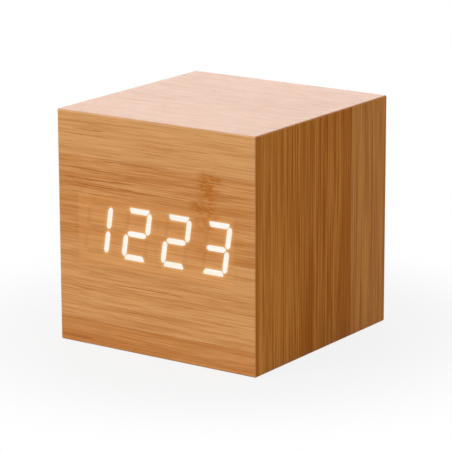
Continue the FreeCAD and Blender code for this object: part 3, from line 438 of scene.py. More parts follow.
# One material for each face, because each sheet is cut from another place of the panel. The right's and the
# top's woods are also painted light:
# the right's deeper amber stands in for the shade on that side, and the top's pinker wood for the sheen on
# it. The specular levels differ to suit the light on each face.
# Each has its woods, turn, seed, start of the strips, bands, veins, knots, specular level, fibre length and
# display.
SHEETS = {
    "front": (
        HONEY, ALONG_X_UP_Z, FRONT_SEED, FRONT_STRIP, FRONT_BANDS, FRONT_VEINS, FRONT_KNOTS, 0.25, 14,
        display_light,
    ),
    "right": (AMBER_PAINTED_SHADE, ALONG_Z_ACROSS_Y, 0.35, -30.5, RIGHT_BANDS, RIGHT_VEINS, (), 0.03, 26),
    "left": (HONEY, ALONG_Z_ACROSS_Y, 0.31, -26, (), [(-8, 6, 50, 0.25, 9)], [(41, -6, 4, 6, 5.0)]),
    "top": (PALE_PAINTED_SHEEN, ALONG_X_ACROSS_Y, 0.12, -28, (), TOP_VEINS, [(27, -25.5, 7, 3, 7.0, 0.4)], 0.58),
    "bottom": (HONEY, ALONG_X_ACROSS_Y, 0.44, -20),
    "back": (HONEY, ALONG_X_UP_Z, 0.77, 3, (), BACK_VEINS, [(-24, 55, 4, 5, 9.0)]),
}
BAMBOO = {face: bamboo(face + "_bamboo", *values) for face, values in SHEETS.items()}


# ---- other finishes

CELL_RING = (36.0 * MM, 40.0 * MM)
RING_EDGE = 0.1 * MM
STEEL_RADIUS = 4.2 * MM
TRACK_PITCHES = (1.27 * MM, 2.54 * MM)
TRACK_LENGTH = 9 * MM


def make_lit_bamboo():
    """Bamboo thin enough for the lamps to shine through: nearly white, with a trace of grain."""
    r = Finish("lit_bamboo")
    grain = r.place(bamboo_grain, {
        "Vector": r.turned(ALONG_X_UP_Z), "Strip Start": FRONT_STRIP * MM, "Seed": FRONT_SEED,
    })
    light = r.blend(grain["Fibre"] * 0.45, (237, 239, 237), (228, 220, 194))
    wood = r.blend(grain["Fibre"], (120, 90, 60), (100, 70, 44))
    return r.look(
        wood, grain["Pore"] * 0.15 + 0.4, grain["Height"], depth=0.02, strength=0.5,
        Emission_Color=light, Emission_Strength=1.0, Specular_IOR_Level=0.2,
    )


def make_fibreboard():
    """Pressed wood fibre: brown, flecked and slightly fuzzy where it is cut."""
    r = Finish("fibreboard")
    cloud, grit = r.speckle(1.1, 0.22)
    colour = r.blend(cloud, (168, 126, 86), (138, 98, 62))
    colour = r.blend(grit * 0.4, colour, (104, 70, 42))
    return r.look(colour, grit * 0.12 + 0.82, grit, depth=0.06, strength=0.7, Specular_IOR_Level=0.2)


def make_softwood():
    """Planed pine rails with straight grain along Y."""
    r = Finish("softwood")
    rings = r.noise(r.at, (0.9 * MM, 22 * MM, 0.9 * MM), 3.0, 0.6)
    cloud, grit = r.speckle(4, 0.2)
    colour = r.blend(r.ease(rings, 0.35, 0.65), (222, 190, 142), (190, 148, 96))
    return r.look(colour, cloud * 0.12 + 0.66, rings + grit * 0.3, depth=0.05, strength=0.5)


def moulded(name, colour, mark, roughness=0.42, depth=0.012, grain=0.16):
    """Moulded plastic or resin: a fine spark-textured surface with faint clouds of handling."""
    r = Finish(name)
    cloud, grit = r.speckle(7, grain)
    colour = r.blend(cloud * 0.5, colour, mark)
    return r.look(colour, cloud * 0.12 + roughness, grit, depth, strength=0.7)


def metal(name, colour, tarnish, roughness, turn=ALONG_X_ACROSS_Y, pitch=0.06, length=5.0):
    """Plated or drawn metal with fine marks along one direction and clouds of tarnish."""
    r = Finish(name)
    sizes = {"Vector": r.turned(turn), "Pitch": pitch * MM, "Length": length * MM}
    lines = r.place(drawn_lines, sizes)["Lines"]
    cloud = r.speckle(3, 0.2)[0]
    colour = r.blend(cloud * 0.4, colour, tarnish)
    roughness = lines * 0.08 + cloud * 0.1 + roughness
    return r.look(colour, roughness, lines, depth=0.006, strength=0.5, Metallic=1.0)


def make_circuit_board():
    """Green solder mask over glass cloth, with copper tracks showing as lighter, raised lines."""
    r = Finish("circuit_board")
    x, y, z = r.split(r.at)
    level = y + z
    lanes = []
    for across, along, pitch in zip((x, level), (level, x), TRACK_PITCHES):
        lane = across / pitch
        track = r.fade(r.math("ABSOLUTE", r.math("FRACT", lane) - 0.5), 0.10, 0.16)
        used = r.noise(r.join(r.math("FLOOR", lane) * 7.3, along / TRACK_LENGTH, 0.0), detail=0.0)
        lanes.append(track * r.ease(used, 0.50, 0.53))
    tracks = r.math("MAXIMUM", *lanes)
    cloud, grit = r.speckle(5, 0.3)
    colour = r.blend(cloud, (18, 92, 58), (12, 78, 48))
    colour = r.blend(tracks * 0.7, colour, (52, 138, 84))
    lacquer = r.ease(cloud, 0.0, 1.0, 0.35, 0.5)
    height = tracks + grit * 0.15
    return r.look(colour, cloud * 0.12 + 0.30, height, depth=0.035, strength=0.6, Coat_Weight=lacquer)


def make_cell_jacket():
    """A plain printed sleeve shrunk over a steel can: a light ring near one end, bare steel on both."""
    r = Finish("cell_jacket")
    along = r.stored("along_axis")
    low, high = CELL_RING
    ring = r.ease(along, low, low + RING_EDGE) * r.fade(along, high, high + RING_EDGE)
    steel = r.fade(r.stored("off_axis"), STEEL_RADIUS, STEEL_RADIUS + RING_EDGE)
    cloud, grit = r.speckle(6, 0.4)
    sleeve = r.blend(cloud, (46, 74, 92), (38, 64, 82))
    sleeve = r.blend(ring, sleeve, (214, 216, 210))
    bare = r.blend(cloud, (206, 208, 210), (176, 178, 180))
    colour = r.blend(steel, sleeve, bare)
    return r.look(colour, cloud * 0.1 + 0.26, grit, depth=0.01, strength=0.4, Metallic=steel)


# Every finish but the bamboo of the faces, by the name of the record's material slot.
FINISH = {
    "lit_veneer": make_lit_bamboo(), "fibreboard": make_fibreboard(), "softwood": make_softwood(),
    "circuit_board": make_circuit_board(), "cell_jacket": make_cell_jacket(),
    "diffuser": moulded("milky_film", (238, 236, 226), (226, 222, 208), 0.5, 0.01),
}
for slot_name, *values in (
    ("white_reflector", (240, 240, 236), (226, 226, 220), 0.38),
    ("lamp_resin", (250, 226, 120), (240, 206, 86), 0.25, 0.006),
    ("chip_black", (28, 28, 29), (44, 44, 45), 0.55, 0.01, 0.1),
    ("resistor_black", (22, 22, 24), (38, 38, 40), 0.3, 0.006),
    ("socket_white", (232, 228, 214), (218, 212, 194), 0.4),
    ("ribbon_grey", (150, 152, 154), (134, 136, 140), 0.5),
    ("capacitor_sleeve", (24, 30, 58), (36, 44, 76), 0.28, 0.006),
    ("black_plastic", (30, 30, 31), (46, 46, 47), 0.46, 0.018),
    ("red_wire", (176, 26, 22), (150, 20, 18)),
    ("black_wire", (26, 26, 27), (44, 44, 45)),
):
    FINISH[slot_name] = moulded(slot_name, *values)
for slot_name, *values in (
    ("solder_tin", (206, 206, 204), (168, 168, 166), 0.24, ALONG_X_ACROSS_Y, 0.1, 0.4),
    ("zinc_screw", (204, 206, 212), (160, 162, 166), 0.26),
    ("nickel_contact", (214, 210, 200), (172, 166, 152), 0.22, ALONG_Z_ACROSS_Y),
):
    FINISH[slot_name] = metal(slot_name, *values)


# ---- making pieces

TOUCHING = 0.001 * MM
FLAT = math.radians(0.5)
ARC_STEPS = 4
EASE_STEPS, EASE_ANGLE = 2, math.radians(28)
# The inputs of geometry groups that aren't plain sizes.
KIND_OF = {
    "Geometry": "Geometry", "Material": "Material", "Lit": "Object", "Mask": "Object", "Wires": "Int",
    "Turn": "Vector",
}


def dress(thing, material):
    """Gives an object one material all over."""
    thing.data.materials.clear()
    thing.data.materials.append(material)
    return thing


def show(name, data):
    """A new object in the scene."""
    thing = bpy.data.objects.new(name, data)
    bpy.context.scene.collection.objects.link(thing)
    return thing


def new_piece(name, mesh, node, slot, material=None):
    """A finished mesh becomes the piece that stands for a construction part."""
    piece = dress(show(name, mesh), material or FINISH[slot])
    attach(piece, BODY_OF[node])
    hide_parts(node)


def merged(node):
    """A copy of a construction part's mesh with its corners joined and its flat faces whole."""
    copy = NODES[node].data.copy()
    if "custom_normal" in copy.attributes:
        copy.attributes.remove(copy.attributes["custom_normal"])
    work = bmesh.new()
    work.from_mesh(copy)
    bpy.data.meshes.remove(copy)
    bmesh.ops.remove_doubles(work, verts=work.verts, dist=TOUCHING)
    bmesh.ops.dissolve_limit(work, angle_limit=FLAT, verts=work.verts, edges=work.edges)
    return work


def plain(work, name):
    """Turns a work mesh into a mesh."""
    mesh = bpy.data.meshes.new(name)
    work.to_mesh(mesh)
    work.free()
    return mesh


def smooth(mesh, crease=35):
    """Shades a mesh smooth on its round stretches and sharp at its creases."""
    mesh.shade_smooth()
    mesh.set_sharp_from_angle(angle=math.radians(crease))
    return mesh


def result_of(helper, name, **options):
    """The plain mesh that a helper's modifiers make. The helper goes."""
    graph = bpy.context.evaluated_depsgraph_get()
    mesh = bpy.data.meshes.new_from_object(helper.evaluated_get(graph), depsgraph=graph, **options)
    bpy.data.objects.remove(helper)
    mesh.name = name
    return mesh


def eased(node, width):
    """A construction part with every crease rounded off, as moulding or tumbling leaves it."""
    mesh = plain(merged(node), node + "_plain")
    mesh.shade_smooth()
    helper = show(node + "_plain", mesh)
    bevel = helper.modifiers.new("ease", "BEVEL")
    bevel.width = width
    bevel.segments = EASE_STEPS
    bevel.limit_method = "ANGLE"
    bevel.angle_limit = EASE_ANGLE
    bevel.use_clamp_overlap = True
    bevel.harden_normals = True
    return result_of(helper, node + "_eased")


def geometry_group(*labels):
    """Makes a group of the function below it, which gets a recipe, Geometry and the inputs named here.

    Every such group ends the same way: real meshes, and one material.
    """

    def build(write):
        r = Recipe(bpy.data.node_groups.new(write.__name__, "GeometryNodeTree"))
        for label in ("Geometry", *labels, "Material"):
            r.socket(label, KIND_OF.get(label, "Float"))
        *inputs, material = r.given()
        real = shape(r, "RealizeInstances", {"Geometry": write(r, *inputs)})
        painted = shape(r, "SetMaterial", {"Geometry": real, "Material": material})
        return r.close({"Geometry": painted}, "Geometry")

    return build


def shape(r, kind, inputs, **settings):
    """The first output of a geometry step."""
    return r.step("GeometryNode" + kind, inputs, **settings)[0]


def lifted(r, geometry, height):
    return shape(r, "Transform", {"Geometry": geometry, "Translation": r.join(0.0, 0.0, height)})


def grown(name, tree, values, seed_mesh):
    """The plain mesh that a geometry group makes from its named sizes."""
    helper = show(name + "_seed", seed_mesh)
    modifier = helper.modifiers.new("grow", "NODES")
    modifier.node_group = tree
    for item in tree.interface.items_tree:
        if item.name in values:
            modifier[item.identifier] = values[item.name]
    return result_of(helper, name, preserve_all_data_layers=True)


# ---- case

GLOW_CELL = 0.5 * MM
GLOW_MARGIN = 2.0 * MM
GLOW_REACH = 0.28 * MM
WELL_DEPTH = 3.0 * MM
PATCH_CORNER = 0.45 * MM
FACING_FRONT = -0.99


@geometry_group("Lit", "Mask", "Reach", "Depth")
def light_spread(r, sheet, lit, mask, reach, depth):
    """Stores on a sheet how near the lit patches are, and where the wells behind it open."""
    lit, mask = [
        r.step("GeometryNodeObjectInfo", {"Object": thing}, transform_space="RELATIVE")["Geometry"]
        for thing in (lit, mask)
    ]
    distance = r.step("GeometryNodeProximity", {0: lit}, target_element="FACES")["Distance"]
    ray = {0: mask, "Ray Direction": TO_BACK, "Ray Length": depth}
    hit = r.step("GeometryNodeRaycast", ray)["Is Hit"]
    glow = r.math("EXPONENT", distance / reach * -1.0)
    for name, value in (("glow", glow), ("well", 1.0 - hit)):
        stored = {"Geometry": sheet, "Name": name, "Value": value}
        sheet = shape(r, "StoreNamedAttribute", stored, data_type="FLOAT", domain="POINT")
    return sheet


def shrunk(outline, amount):
    """A convex outline, run anticlockwise, drawn in by one amount all round."""
    result = list(outline)
    for start, end in zip(outline, outline[1:] + outline[:1]):
        along = (end - start).normalized()
        inward = Vector((-along.y, along.x))
        limit = start + inward * amount
        kept = []
        for here, there in zip(result, result[1:] + result[:1]):
            near, far = (here - limit).dot(inward), (there - limit).dot(inward)
            if near >= 0:
                kept.append(here)
            if near * far < 0:
                kept.append(here.lerp(there, near / (near - far)))
        result = kept
    return result


def rounded_outline(outline, radius):
    """The same convex outline with every corner rounded to at least one radius."""
    core = shrunk(outline, radius)
    result = []
    for before, corner, after in zip(core[-1:] + core[:-1], core, core[1:] + core[:1]):
        start = math.atan2(before.x - corner.x, corner.y - before.y)
        end = math.atan2(corner.x - after.x, after.y - corner.y)
        sweep = (end - start) % math.tau
        for i in range(ARC_STEPS + 1):
            angle = start + sweep * i / ARC_STEPS
            result.append(corner + Vector((math.cos(angle), math.sin(angle))) * radius)
    return result


def make_lit_patches():
    """The patches of thin veneer that shine, their ends rounded by the spread of light."""
    solids = merged("lit_segments")
    low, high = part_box("lit_segments")
    work = bmesh.new()
    for face in solids.faces:
        if face.normal.y > FACING_FRONT:
            continue
        outline = rounded_outline([Vector((v.co.x, v.co.z)) for v in face.verts], PATCH_CORNER)
        front, back = [[work.verts.new((p.x, y, p.y)) for p in outline] for y in (low.y, high.y)]
        work.faces.new(front)
        work.faces.new(back[::-1])
        for i in range(len(outline)):
            work.faces.new((front[i - 1], front[i], back[i], back[i - 1]))
    solids.free()
    bmesh.ops.remove_doubles(work, verts=work.verts, dist=TOUCHING)
    bmesh.ops.recalc_face_normals(work, faces=work.faces)
    new_piece("lit_patches", smooth(plain(work, "lit_patches")), "lit_segments", "lit_veneer")


def make_front_sheet():
    """The front veneer, cut into small cells round the digits so that their glow fades smoothly."""
    work = merged("front_veneer")
    margin = Vector((1, 1, 1)) * GLOW_MARGIN
    low, high = [corner + sign * margin for corner, sign in zip(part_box("diffuser_film"), (-1, 1))]
    for axis in (0, 2):
        normal = Vector((axis == 0, 0, axis == 2))
        for i in range(int((high[axis] - low[axis]) / GLOW_CELL) + 1):
            cut_at = normal * (low[axis] + i * GLOW_CELL)
            everything = work.verts[:] + work.edges[:] + work.faces[:]
            bmesh.ops.bisect_plane(work, geom=everything, plane_co=cut_at, plane_no=normal)
    values = {
        "Lit": NODES["lit_segments"], "Mask": NODES["segment_mask"], "Reach": GLOW_REACH,
        "Depth": WELL_DEPTH, "Material": BAMBOO["front"],
    }
    mesh = grown("front_sheet", light_spread, values, plain(work, "front_sheet_plain"))
    new_piece("front_sheet", mesh, "front_veneer", "bamboo_veneer", BAMBOO["front"])


make_lit_patches()
make_front_sheet()
for face in ("right", "left", "top", "bottom", "back"):
    dress(NODES[face + "_veneer"], BAMBOO[face])


# ---- turned parts

# Half outlines in millimetres as (radius, distance), first from the near end, then back from the far end.
OUTLINES = {
    # A collar that stays behind the back board, and a cap whose face is slightly dished.
    "button": (
        [(0, 0), (3.8, 0), (3.8, 1.3), (2.8, 1.3)],
        [(2.8, 0.4), (2.45, 0), (2.0, 0), (1.2, 0.13), (0, 0.16)],
    ),
    # A switch's plunger, its hidden end tapered to clear the corner of the well that it sinks into.
    "stem": ([(0, 0.05), (1.4, 0.05), (1.75, 0.4)], [(1.75, 0.3), (1.45, 0), (0, 0)]),
    # A cell from its flat end, with the sleeve shrunk over both rims and a button on the far end.
    "cell": (
        [(0, 0), (3.9, 0), (4.1, 0.22), (4.5, 0.22), (4.7, 0.0), (5.15, 0.35)],
        [
            (5.15, 1.25), (4.8, 0.8), (4.4, 0.8), (4.15, 1.1), (2.3, 1.1), (1.95, 0.8), (1.9, 0.12), (1.7, 0),
            (0, 0),
        ],
    ),
    # The jack's centre pin: a thick root in the moulding, and a bare pin with a rounded tip.
    "pin": ([(0, 0), (1.0, 0), (1.0, 1.2), (0.65, 1.2)], [(0.65, 0.45), (0.3, 0), (0, 0)]),
    # A round sounder with a foot, and a hole in a raised ring on top.
    "buzzer": (
        [(0, 0), (5.8, 0), (5.8, 0.7), (6.0, 0.9)],
        [(6.0, 0.5), (5.5, 0), (2.4, 0), (2.2, 0.25), (1.3, 0.25), (1.3, 1.8), (0, 1.8)],
    ),
    # A sleeved can with its crimp near the foot and a bare top inside the sleeve's rim.
    "capacitor": (
        [(0, 0), (2.3, 0), (2.5, 0.3), (2.5, 0.9), (2.28, 1.15), (2.5, 1.4)],
        [(2.5, 0.35), (2.2, 0), (1.8, 0), (1.7, 0.1), (0, 0.1)],
    ),
    # A small can, its rim rolled over a sunk disc with a hole.
    "microphone": (
        [(0, 0), (3.0, 0)],
        [(3.0, 0.25), (2.8, 0), (2.5, 0), (2.4, 0.2), (1.1, 0.2), (1.0, 0.4), (0, 0.4)],
    ),
    # A drawn metal can with a bead round the end where its legs come out.
    "crystal": (
        [(0, 0), (0.9, 0), (0.92, 0.5), (1.0, 0.55), (1.0, 0.95), (0.92, 1.05)],
        [(0.95, 0.3), (0.7, 0), (0, 0)],
    ),
}
ROUNDING_SHARE = 0.45
CELL_HEADINGS = {"lower_cell": TO_LEFT, "middle_cell": TO_RIGHT, "upper_cell": TO_LEFT}


def rounded_profile(points, radius):
    """A turned part's outline with its corners rounded. points are (radius, height) pairs."""
    points = [Vector(point) for point in points]
    result = points[:1]
    for before, corner, after in zip(points, points[1:], points[2:]):
        back, ahead = before - corner, after - corner
        reach = min(radius, ROUNDING_SHARE * back.length, ROUNDING_SHARE * ahead.length)
        start, end = corner + back.normalized() * reach, corner + ahead.normalized() * reach
        for i in range(ARC_STEPS + 1):
            t = i / ARC_STEPS
            result.append(start * (1 - t) ** 2 + corner * (2 * t * (1 - t)) + end * t ** 2)
    return result + points[-1:]


def turned(points, base, direction, sides):
    """A closed turned shape about a line. Each corner keeps its distance along the line and from it."""
    work = bmesh.new()
    along, off = [work.verts.layers.float.new(name) for name in ("along_axis", "off_axis")]
    turn = UP.rotation_difference(direction).to_matrix()
    rings = []
    for radius, height in points:
        ring = []
        for i in range(sides if radius > TOUCHING else 1):
            angle = math.tau * i / sides
            corner = Vector((radius * math.cos(angle), radius * math.sin(angle), height))
            vertex = work.verts.new(base + turn @ corner)
            vertex[along], vertex[off] = height, radius
            ring.append(vertex)
        rings.append(ring)
    for low, high in zip(rings, rings[1:]):
        for i in range(sides):
            j = (i + 1) % sides
            loop = [low[i % len(low)], low[j % len(low)], high[j % len(high)], high[i % len(high)]]
            work.faces.new(list(dict.fromkeys(loop)))
    bmesh.ops.recalc_face_normals(work, faces=work.faces)
    return work


def turn_piece(node, slot, outline, direction, rounding=0.15, sides=48):
    """A turned piece in place of a round construction part, from its near end along direction."""
    low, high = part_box(node)
    length = abs((high - low).dot(direction))
    base = (low + high) / 2 - direction * (length / 2)
    near, far = OUTLINES[outline]
    profile = near + [(radius, length / MM - back) for radius, back in far]
    profile = rounded_profile([(radius * MM, distance * MM) for radius, distance in profile], rounding * MM)
    mesh = smooth(plain(turned(profile, base, direction, sides), node + "_turned"))
    new_piece(node + "_turned", mesh, node, slot)


for button in ("set", "up", "down"):
    turn_piece(button + "_button", "black_plastic", "button", TO_BACK)
    turn_piece(button + "_stem", "black_plastic", "stem", TO_BACK, 0.08, 32)
for cell, heading in CELL_HEADINGS.items():
    turn_piece(cell, "cell_jacket", "cell", heading, 0.12, 64)
turn_piece("power_jack_pin", "nickel_contact", "pin", TO_BACK, 0.2, 32)
turn_piece("buzzer", "chip_black", "buzzer", UP, 0.2)
turn_piece("capacitor", "capacitor_sleeve", "capacitor", UP, 0.1, 40)
turn_piece("microphone", "chip_black", "microphone", UP, 0.08, 40)
turn_piece("crystal", "solder_tin", "crystal", TO_LEFT, 0.08, 32)


# ---- moulded and flat parts

# By finish, how much each part's corners are rounded off, in millimetres.
EASED = {
    "black_plastic": {
        "battery_box": 0.12, "battery_door": 0.12, "power_jack": 0.15,
        "set_switch": 0.2, "up_switch": 0.2, "down_switch": 0.2,
    },
    "chip_black": {"driver_chips": 0.12, "controller_chip": 0.12},
    "socket_white": {"lamp_board_socket": 0.1, "main_board_socket": 0.1, "ribbon_plugs": 0.1},
    "white_reflector": {"segment_mask": 0.05},
    "resistor_black": {"lamp_resistors": 0.06},
    "lamp_resin": {"segment_lamps": 0.06},
    "solder_tin": {"driver_chip_pins": 0.03, "controller_chip_pins": 0.03},
    "softwood": {"left_rail": 0.2, "right_rail": 0.2},
}
# By finish, the parts that keep the shape of their construction part.
FLAT_PARTS = {
    "fibreboard": [face + "_board" for face in BAMBOO],
    "diffuser": ["diffuser_film"],
    "circuit_board": ["lamp_board", "main_board"],
    "nickel_contact": [
        "positive_terminal", "negative_terminal", "left_bridge_contact", "right_bridge_contact",
    ],
}
for slot_name, widths in EASED.items():
    for part, width in widths.items():
        new_piece(part + "_eased", eased(part, width * MM), part, slot_name)
for slot_name, parts in FLAT_PARTS.items():
    for part in parts:
        dress(NODES[part], FINISH[slot_name])


# ---- springs, wires and screws

BEND_STEPS, COIL_STEPS, FOOT_STEPS, THREAD_STEPS = 8, 28, 40, 24
WIRE_SIDES, SPRING_SIDES, SCREW_SIDES, THREAD_SIDES = 12, 10, 32, 3
SPRING_WIRE = 0.5 * MM
SPRING_TURNS = 3.5
SPRING_BASE, SPRING_TIP = 3.3 * MM, 1.9 * MM
RIBBON_WIRES = 8
RIBBON_BEND = 2.4 * MM
LEAD_RADIUS = 0.6 * MM
LEAD_BEND = 3 * MM
SCREW_HEAD_HEIGHT = 1.3 * MM
SCREW_RADIUS = 1.0 * MM
SCREW_PITCH = 0.8 * MM
SCREW_TIP = 0.02 * MM
# Shares of a screw: of its head's height and radius, of its shank's radius, and of its length.
RIM_HEIGHT, DOME_HEIGHT, DOME_RADIUS = 0.6, 0.4, 0.72
CROSS_LENGTH, CROSS_WIDTH = 1.15, 0.26
ROOT_RADIUS, RIDGE_RADIUS = 0.72, 0.26
POINT_LENGTH, THREAD_LENGTH = 0.22, 0.9


def line_mesh(name, points, edges=()):
    """Bare points, or a line of them, for a geometry group to work on."""
    mesh = bpy.data.meshes.new(name)
    mesh.from_pydata([tuple(point) for point in points], edges, [])
    return mesh


def round_rod(r, curve, radius, sides):
    """A closed round rod along a curve."""
    ring = shape(r, "CurvePrimitiveCircle", {"Resolution": sides, "Radius": radius})
    return shape(r, "CurveToMesh", {"Curve": curve, "Profile Curve": ring, "Fill Caps": True})


@geometry_group("Wires", "Pitch", "Wire Radius", "Bend")
def bent_wires(r, path, count, pitch, radius, bend):
    """Round wires side by side along one bent path."""
    curve = shape(r, "MeshToCurve", {"Mesh": path})
    fillet = {"Curve": curve, "Radius": bend, "Limit Radius": True, "Count": BEND_STEPS}
    bent = shape(r, "FilletCurve", fillet, mode="POLY")
    wire = round_rod(r, bent, radius, WIRE_SIDES)
    first = (count - 1.0) * pitch * -0.5
    places = shape(r, "MeshLine", {
        "Count": count, "Start Location": r.join(first, 0.0, 0.0), "Offset": r.join(pitch, 0.0, 0.0),
    })
    return shape(r, "InstanceOnPoints", {"Points": places, "Instance": wire})


@geometry_group("Turns", "Base Radius", "Tip Radius", "Height", "Wire Radius")
def cone_springs(r, places, turns, base_r, tip_r, height, wire_r):
    """Conical springs, one on each given point, turned to face the way that its point says."""
    coil = shape(r, "CurveSpiral", {
        "Resolution": COIL_STEPS, "Rotations": turns, "Start Radius": base_r, "End Radius": tip_r,
        "Height": height,
    })
    foot = shape(r, "CurvePrimitiveCircle", {"Resolution": FOOT_STEPS, "Radius": base_r})
    both = shape(r, "JoinGeometry", {0: [coil, foot]})
    spring = round_rod(r, both, wire_r, SPRING_SIDES)
    facing = shape(r, "InputNamedAttribute", {"Name": "heading"}, data_type="FLOAT")
    turn = r.join(0.0, facing * math.radians(90), 0.0)
    return shape(r, "InstanceOnPoints", {"Points": places, "Instance": spring, "Rotation": turn})


@geometry_group("Head Radius", "Head Height", "Shank Radius", "Length", "Thread Pitch", "Turn")
def wood_screws(r, seats, head_r, head_h, shank_r, length, pitch, turn):
    """Wood screws with a cross in the head and a thread on the shank, one on each given point."""

    def cylinder(top, bottom, depth, lift):
        sizes = {"Vertices": SCREW_SIDES, "Radius Top": top, "Radius Bottom": bottom, "Depth": depth}
        return lifted(r, shape(r, "MeshCone", sizes), lift)

    low_h = head_h * RIM_HEIGHT
    rim = cylinder(head_r, head_r, low_h, 0.0)
    dome = cylinder(head_r * DOME_RADIUS, head_r, head_h * DOME_HEIGHT, low_h)
    cross = []
    for wide, deep in ((CROSS_LENGTH, CROSS_WIDTH), (CROSS_WIDTH, CROSS_LENGTH)):
        bar = shape(r, "MeshCube", {"Size": r.join(head_r * wide, head_r * deep, head_h)})
        cross.append(lifted(r, bar, head_h))
    whole = shape(r, "MeshBoolean", {"Mesh 2": [rim, dome]}, operation="UNION")
    cut_head = shape(r, "MeshBoolean", {"Mesh 1": whole, "Mesh 2": cross}, operation="DIFFERENCE")

    root_r = shank_r * ROOT_RADIUS
    point_l = length * POINT_LENGTH
    shank_l = length - point_l
    shank = cylinder(root_r, root_r, shank_l, shank_l * -1.0)
    point = cylinder(root_r, SCREW_TIP, point_l, length * -1.0)
    thread_l = shank_l * THREAD_LENGTH
    coil = shape(r, "CurveSpiral", {
        "Resolution": THREAD_STEPS, "Rotations": thread_l / pitch, "Start Radius": root_r,
        "End Radius": root_r, "Height": thread_l,
    })
    ridge = round_rod(r, coil, shank_r * RIDGE_RADIUS, THREAD_SIDES)
    ridge = lifted(r, ridge, shank_l * -1.0)
    screw = shape(r, "JoinGeometry", {0: [cut_head, shank, point, ridge]})
    return shape(r, "InstanceOnPoints", {"Points": seats, "Instance": screw, "Rotation": turn})


def make_springs():
    """A spring between each cell's flat end and the contact plate behind it."""
    plate_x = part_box("contact_springs")[1].x
    places, headings = [], []
    for name, heading in CELL_HEADINGS.items():
        low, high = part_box(name)
        middle = (low + high) / 2
        flat_x = low.x if heading.x > 0 else high.x
        height = plate_x - abs(flat_x) - SPRING_WIRE
        places.append((-heading.x * (plate_x - SPRING_WIRE / 2), middle.y, middle.z))
        headings.append(heading.x)
    mesh = line_mesh("spring_points", places)
    mesh.attributes.new("heading", "FLOAT", "POINT").data.foreach_set("value", headings)
    springs = grown("coiled_springs", cone_springs, {
        "Turns": SPRING_TURNS, "Base Radius": SPRING_BASE - SPRING_WIRE / 2, "Tip Radius": SPRING_TIP,
        "Height": height, "Wire Radius": SPRING_WIRE / 2, "Material": FINISH["nickel_contact"],
    }, mesh)
    springs.shade_smooth()
    new_piece("coiled_springs", springs, "contact_springs", "nickel_contact")


def wires(name, node, slot, path, count, pitch, radius, bend):
    """One or more wires side by side along a path."""
    steps = [(i, i + 1) for i in range(len(path) - 1)]
    mesh = grown(name, bent_wires, {
        "Wires": count, "Pitch": pitch, "Wire Radius": radius, "Bend": bend, "Material": FINISH[slot],
    }, line_mesh(name + "_path", path, steps))
    new_piece(name, smooth(mesh, 50), node, slot)


def make_ribbon():
    """The ribbon cable between the two sockets."""
    low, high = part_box("ribbon_cable")
    pitch = (high.x - low.x) / RIBBON_WIRES
    top, bottom = high.z - pitch / 2, low.z + pitch / 2
    lamp_z = sum(v.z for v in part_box("lamp_board_socket")) / 2
    start_z, end_z = (top, bottom) if abs(lamp_z - top) < abs(lamp_z - bottom) else (bottom, top)
    bend_y = (low.y + high.y) / 2
    path = [(0, low.y, start_z), (0, bend_y, start_z), (0, bend_y, end_z), (0, high.y, end_z)]
    wires("ribbon_wires", "ribbon_cable", "ribbon_grey", path, RIBBON_WIRES, pitch, pitch / 2, RIBBON_BEND)


def make_lead(colour, tab, cell):
    """A battery lead, from its tab at a cell's height inwards and up to the main board."""
    node = colour + "_lead"
    low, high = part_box(node)
    tab_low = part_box(tab)[0]
    side = 1 if tab_low.x > 0 else -1
    outer_x, inner_x = (high.x, low.x) if side > 0 else (low.x, high.x)
    start_z = sum(v.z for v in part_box(cell)) / 2
    path = [
        (outer_x - side * LEAD_RADIUS, tab_low.y - LEAD_RADIUS, start_z),
        (inner_x + side * LEAD_RADIUS, low.y + LEAD_RADIUS, start_z),
        (inner_x + side * LEAD_RADIUS, low.y + LEAD_RADIUS, high.z),
    ]
    wires(node + "_round", node, colour + "_wire", path, 1, 0.0, LEAD_RADIUS, LEAD_BEND)


def screw_boxes(node):
    """The boxes of the left and the right screw of a pair, as centre and size."""
    for side in (-1, 1):
        corners = [v.co for v in NODES[node].data.vertices if v.co.x * side > 0]
        low, high = [Vector([end(c[i] for c in corners) for i in range(3)]) for end in (min, max)]
        yield (low + high) / 2, high - low


def make_screws(node, into):
    """A pair of screws, driven towards into."""
    places = []
    for centre, size in screw_boxes(node):
        depth = abs(size.dot(into))
        places.append(centre - into * (depth / 2 - SCREW_HEAD_HEIGHT))
    screws = grown(node + "_cut", wood_screws, {
        "Head Radius": size.x / 2, "Head Height": SCREW_HEAD_HEIGHT, "Shank Radius": SCREW_RADIUS,
        "Length": depth - SCREW_HEAD_HEIGHT, "Thread Pitch": SCREW_PITCH,
        "Turn": tuple((-into).to_track_quat("Z", "Y").to_euler()), "Material": FINISH["zinc_screw"],
    }, line_mesh(node + "_seats", places))
    new_piece(node + "_cut", smooth(screws, 30), node, "zinc_screw")


make_springs()
make_ribbon()
make_lead("red", "positive_terminal", "lower_cell")
make_lead("black", "negative_terminal", "upper_cell")
make_screws("lamp_board_screws", TO_FRONT)
make_screws("main_board_screws", DOWN)


# ---- camera, floor and light

CAMERA_LENS = 205.5
CAMERA_AT = Vector((0.37757, -0.54279, 0.19769))
CAMERA_YAW = math.radians(-34.783)
CAMERA_PITCH = math.radians(-14.356)
CAMERA_ROLL = math.radians(-0.208)
FLOOR_SIZE = 6.0
FLOOR_GAP = 0.03 * MM
FLOOR_GREYS = ((0.45, 0.45, 0.45, 1), (0.47, 0.47, 0.47, 1))
PAPER_GRAIN = 900.0
SHADOW_SHARE = 0.14
SHADOW_NEAR, SHADOW_FAR = 0.045, 0.10
LIGHT_LEVEL = 0.50


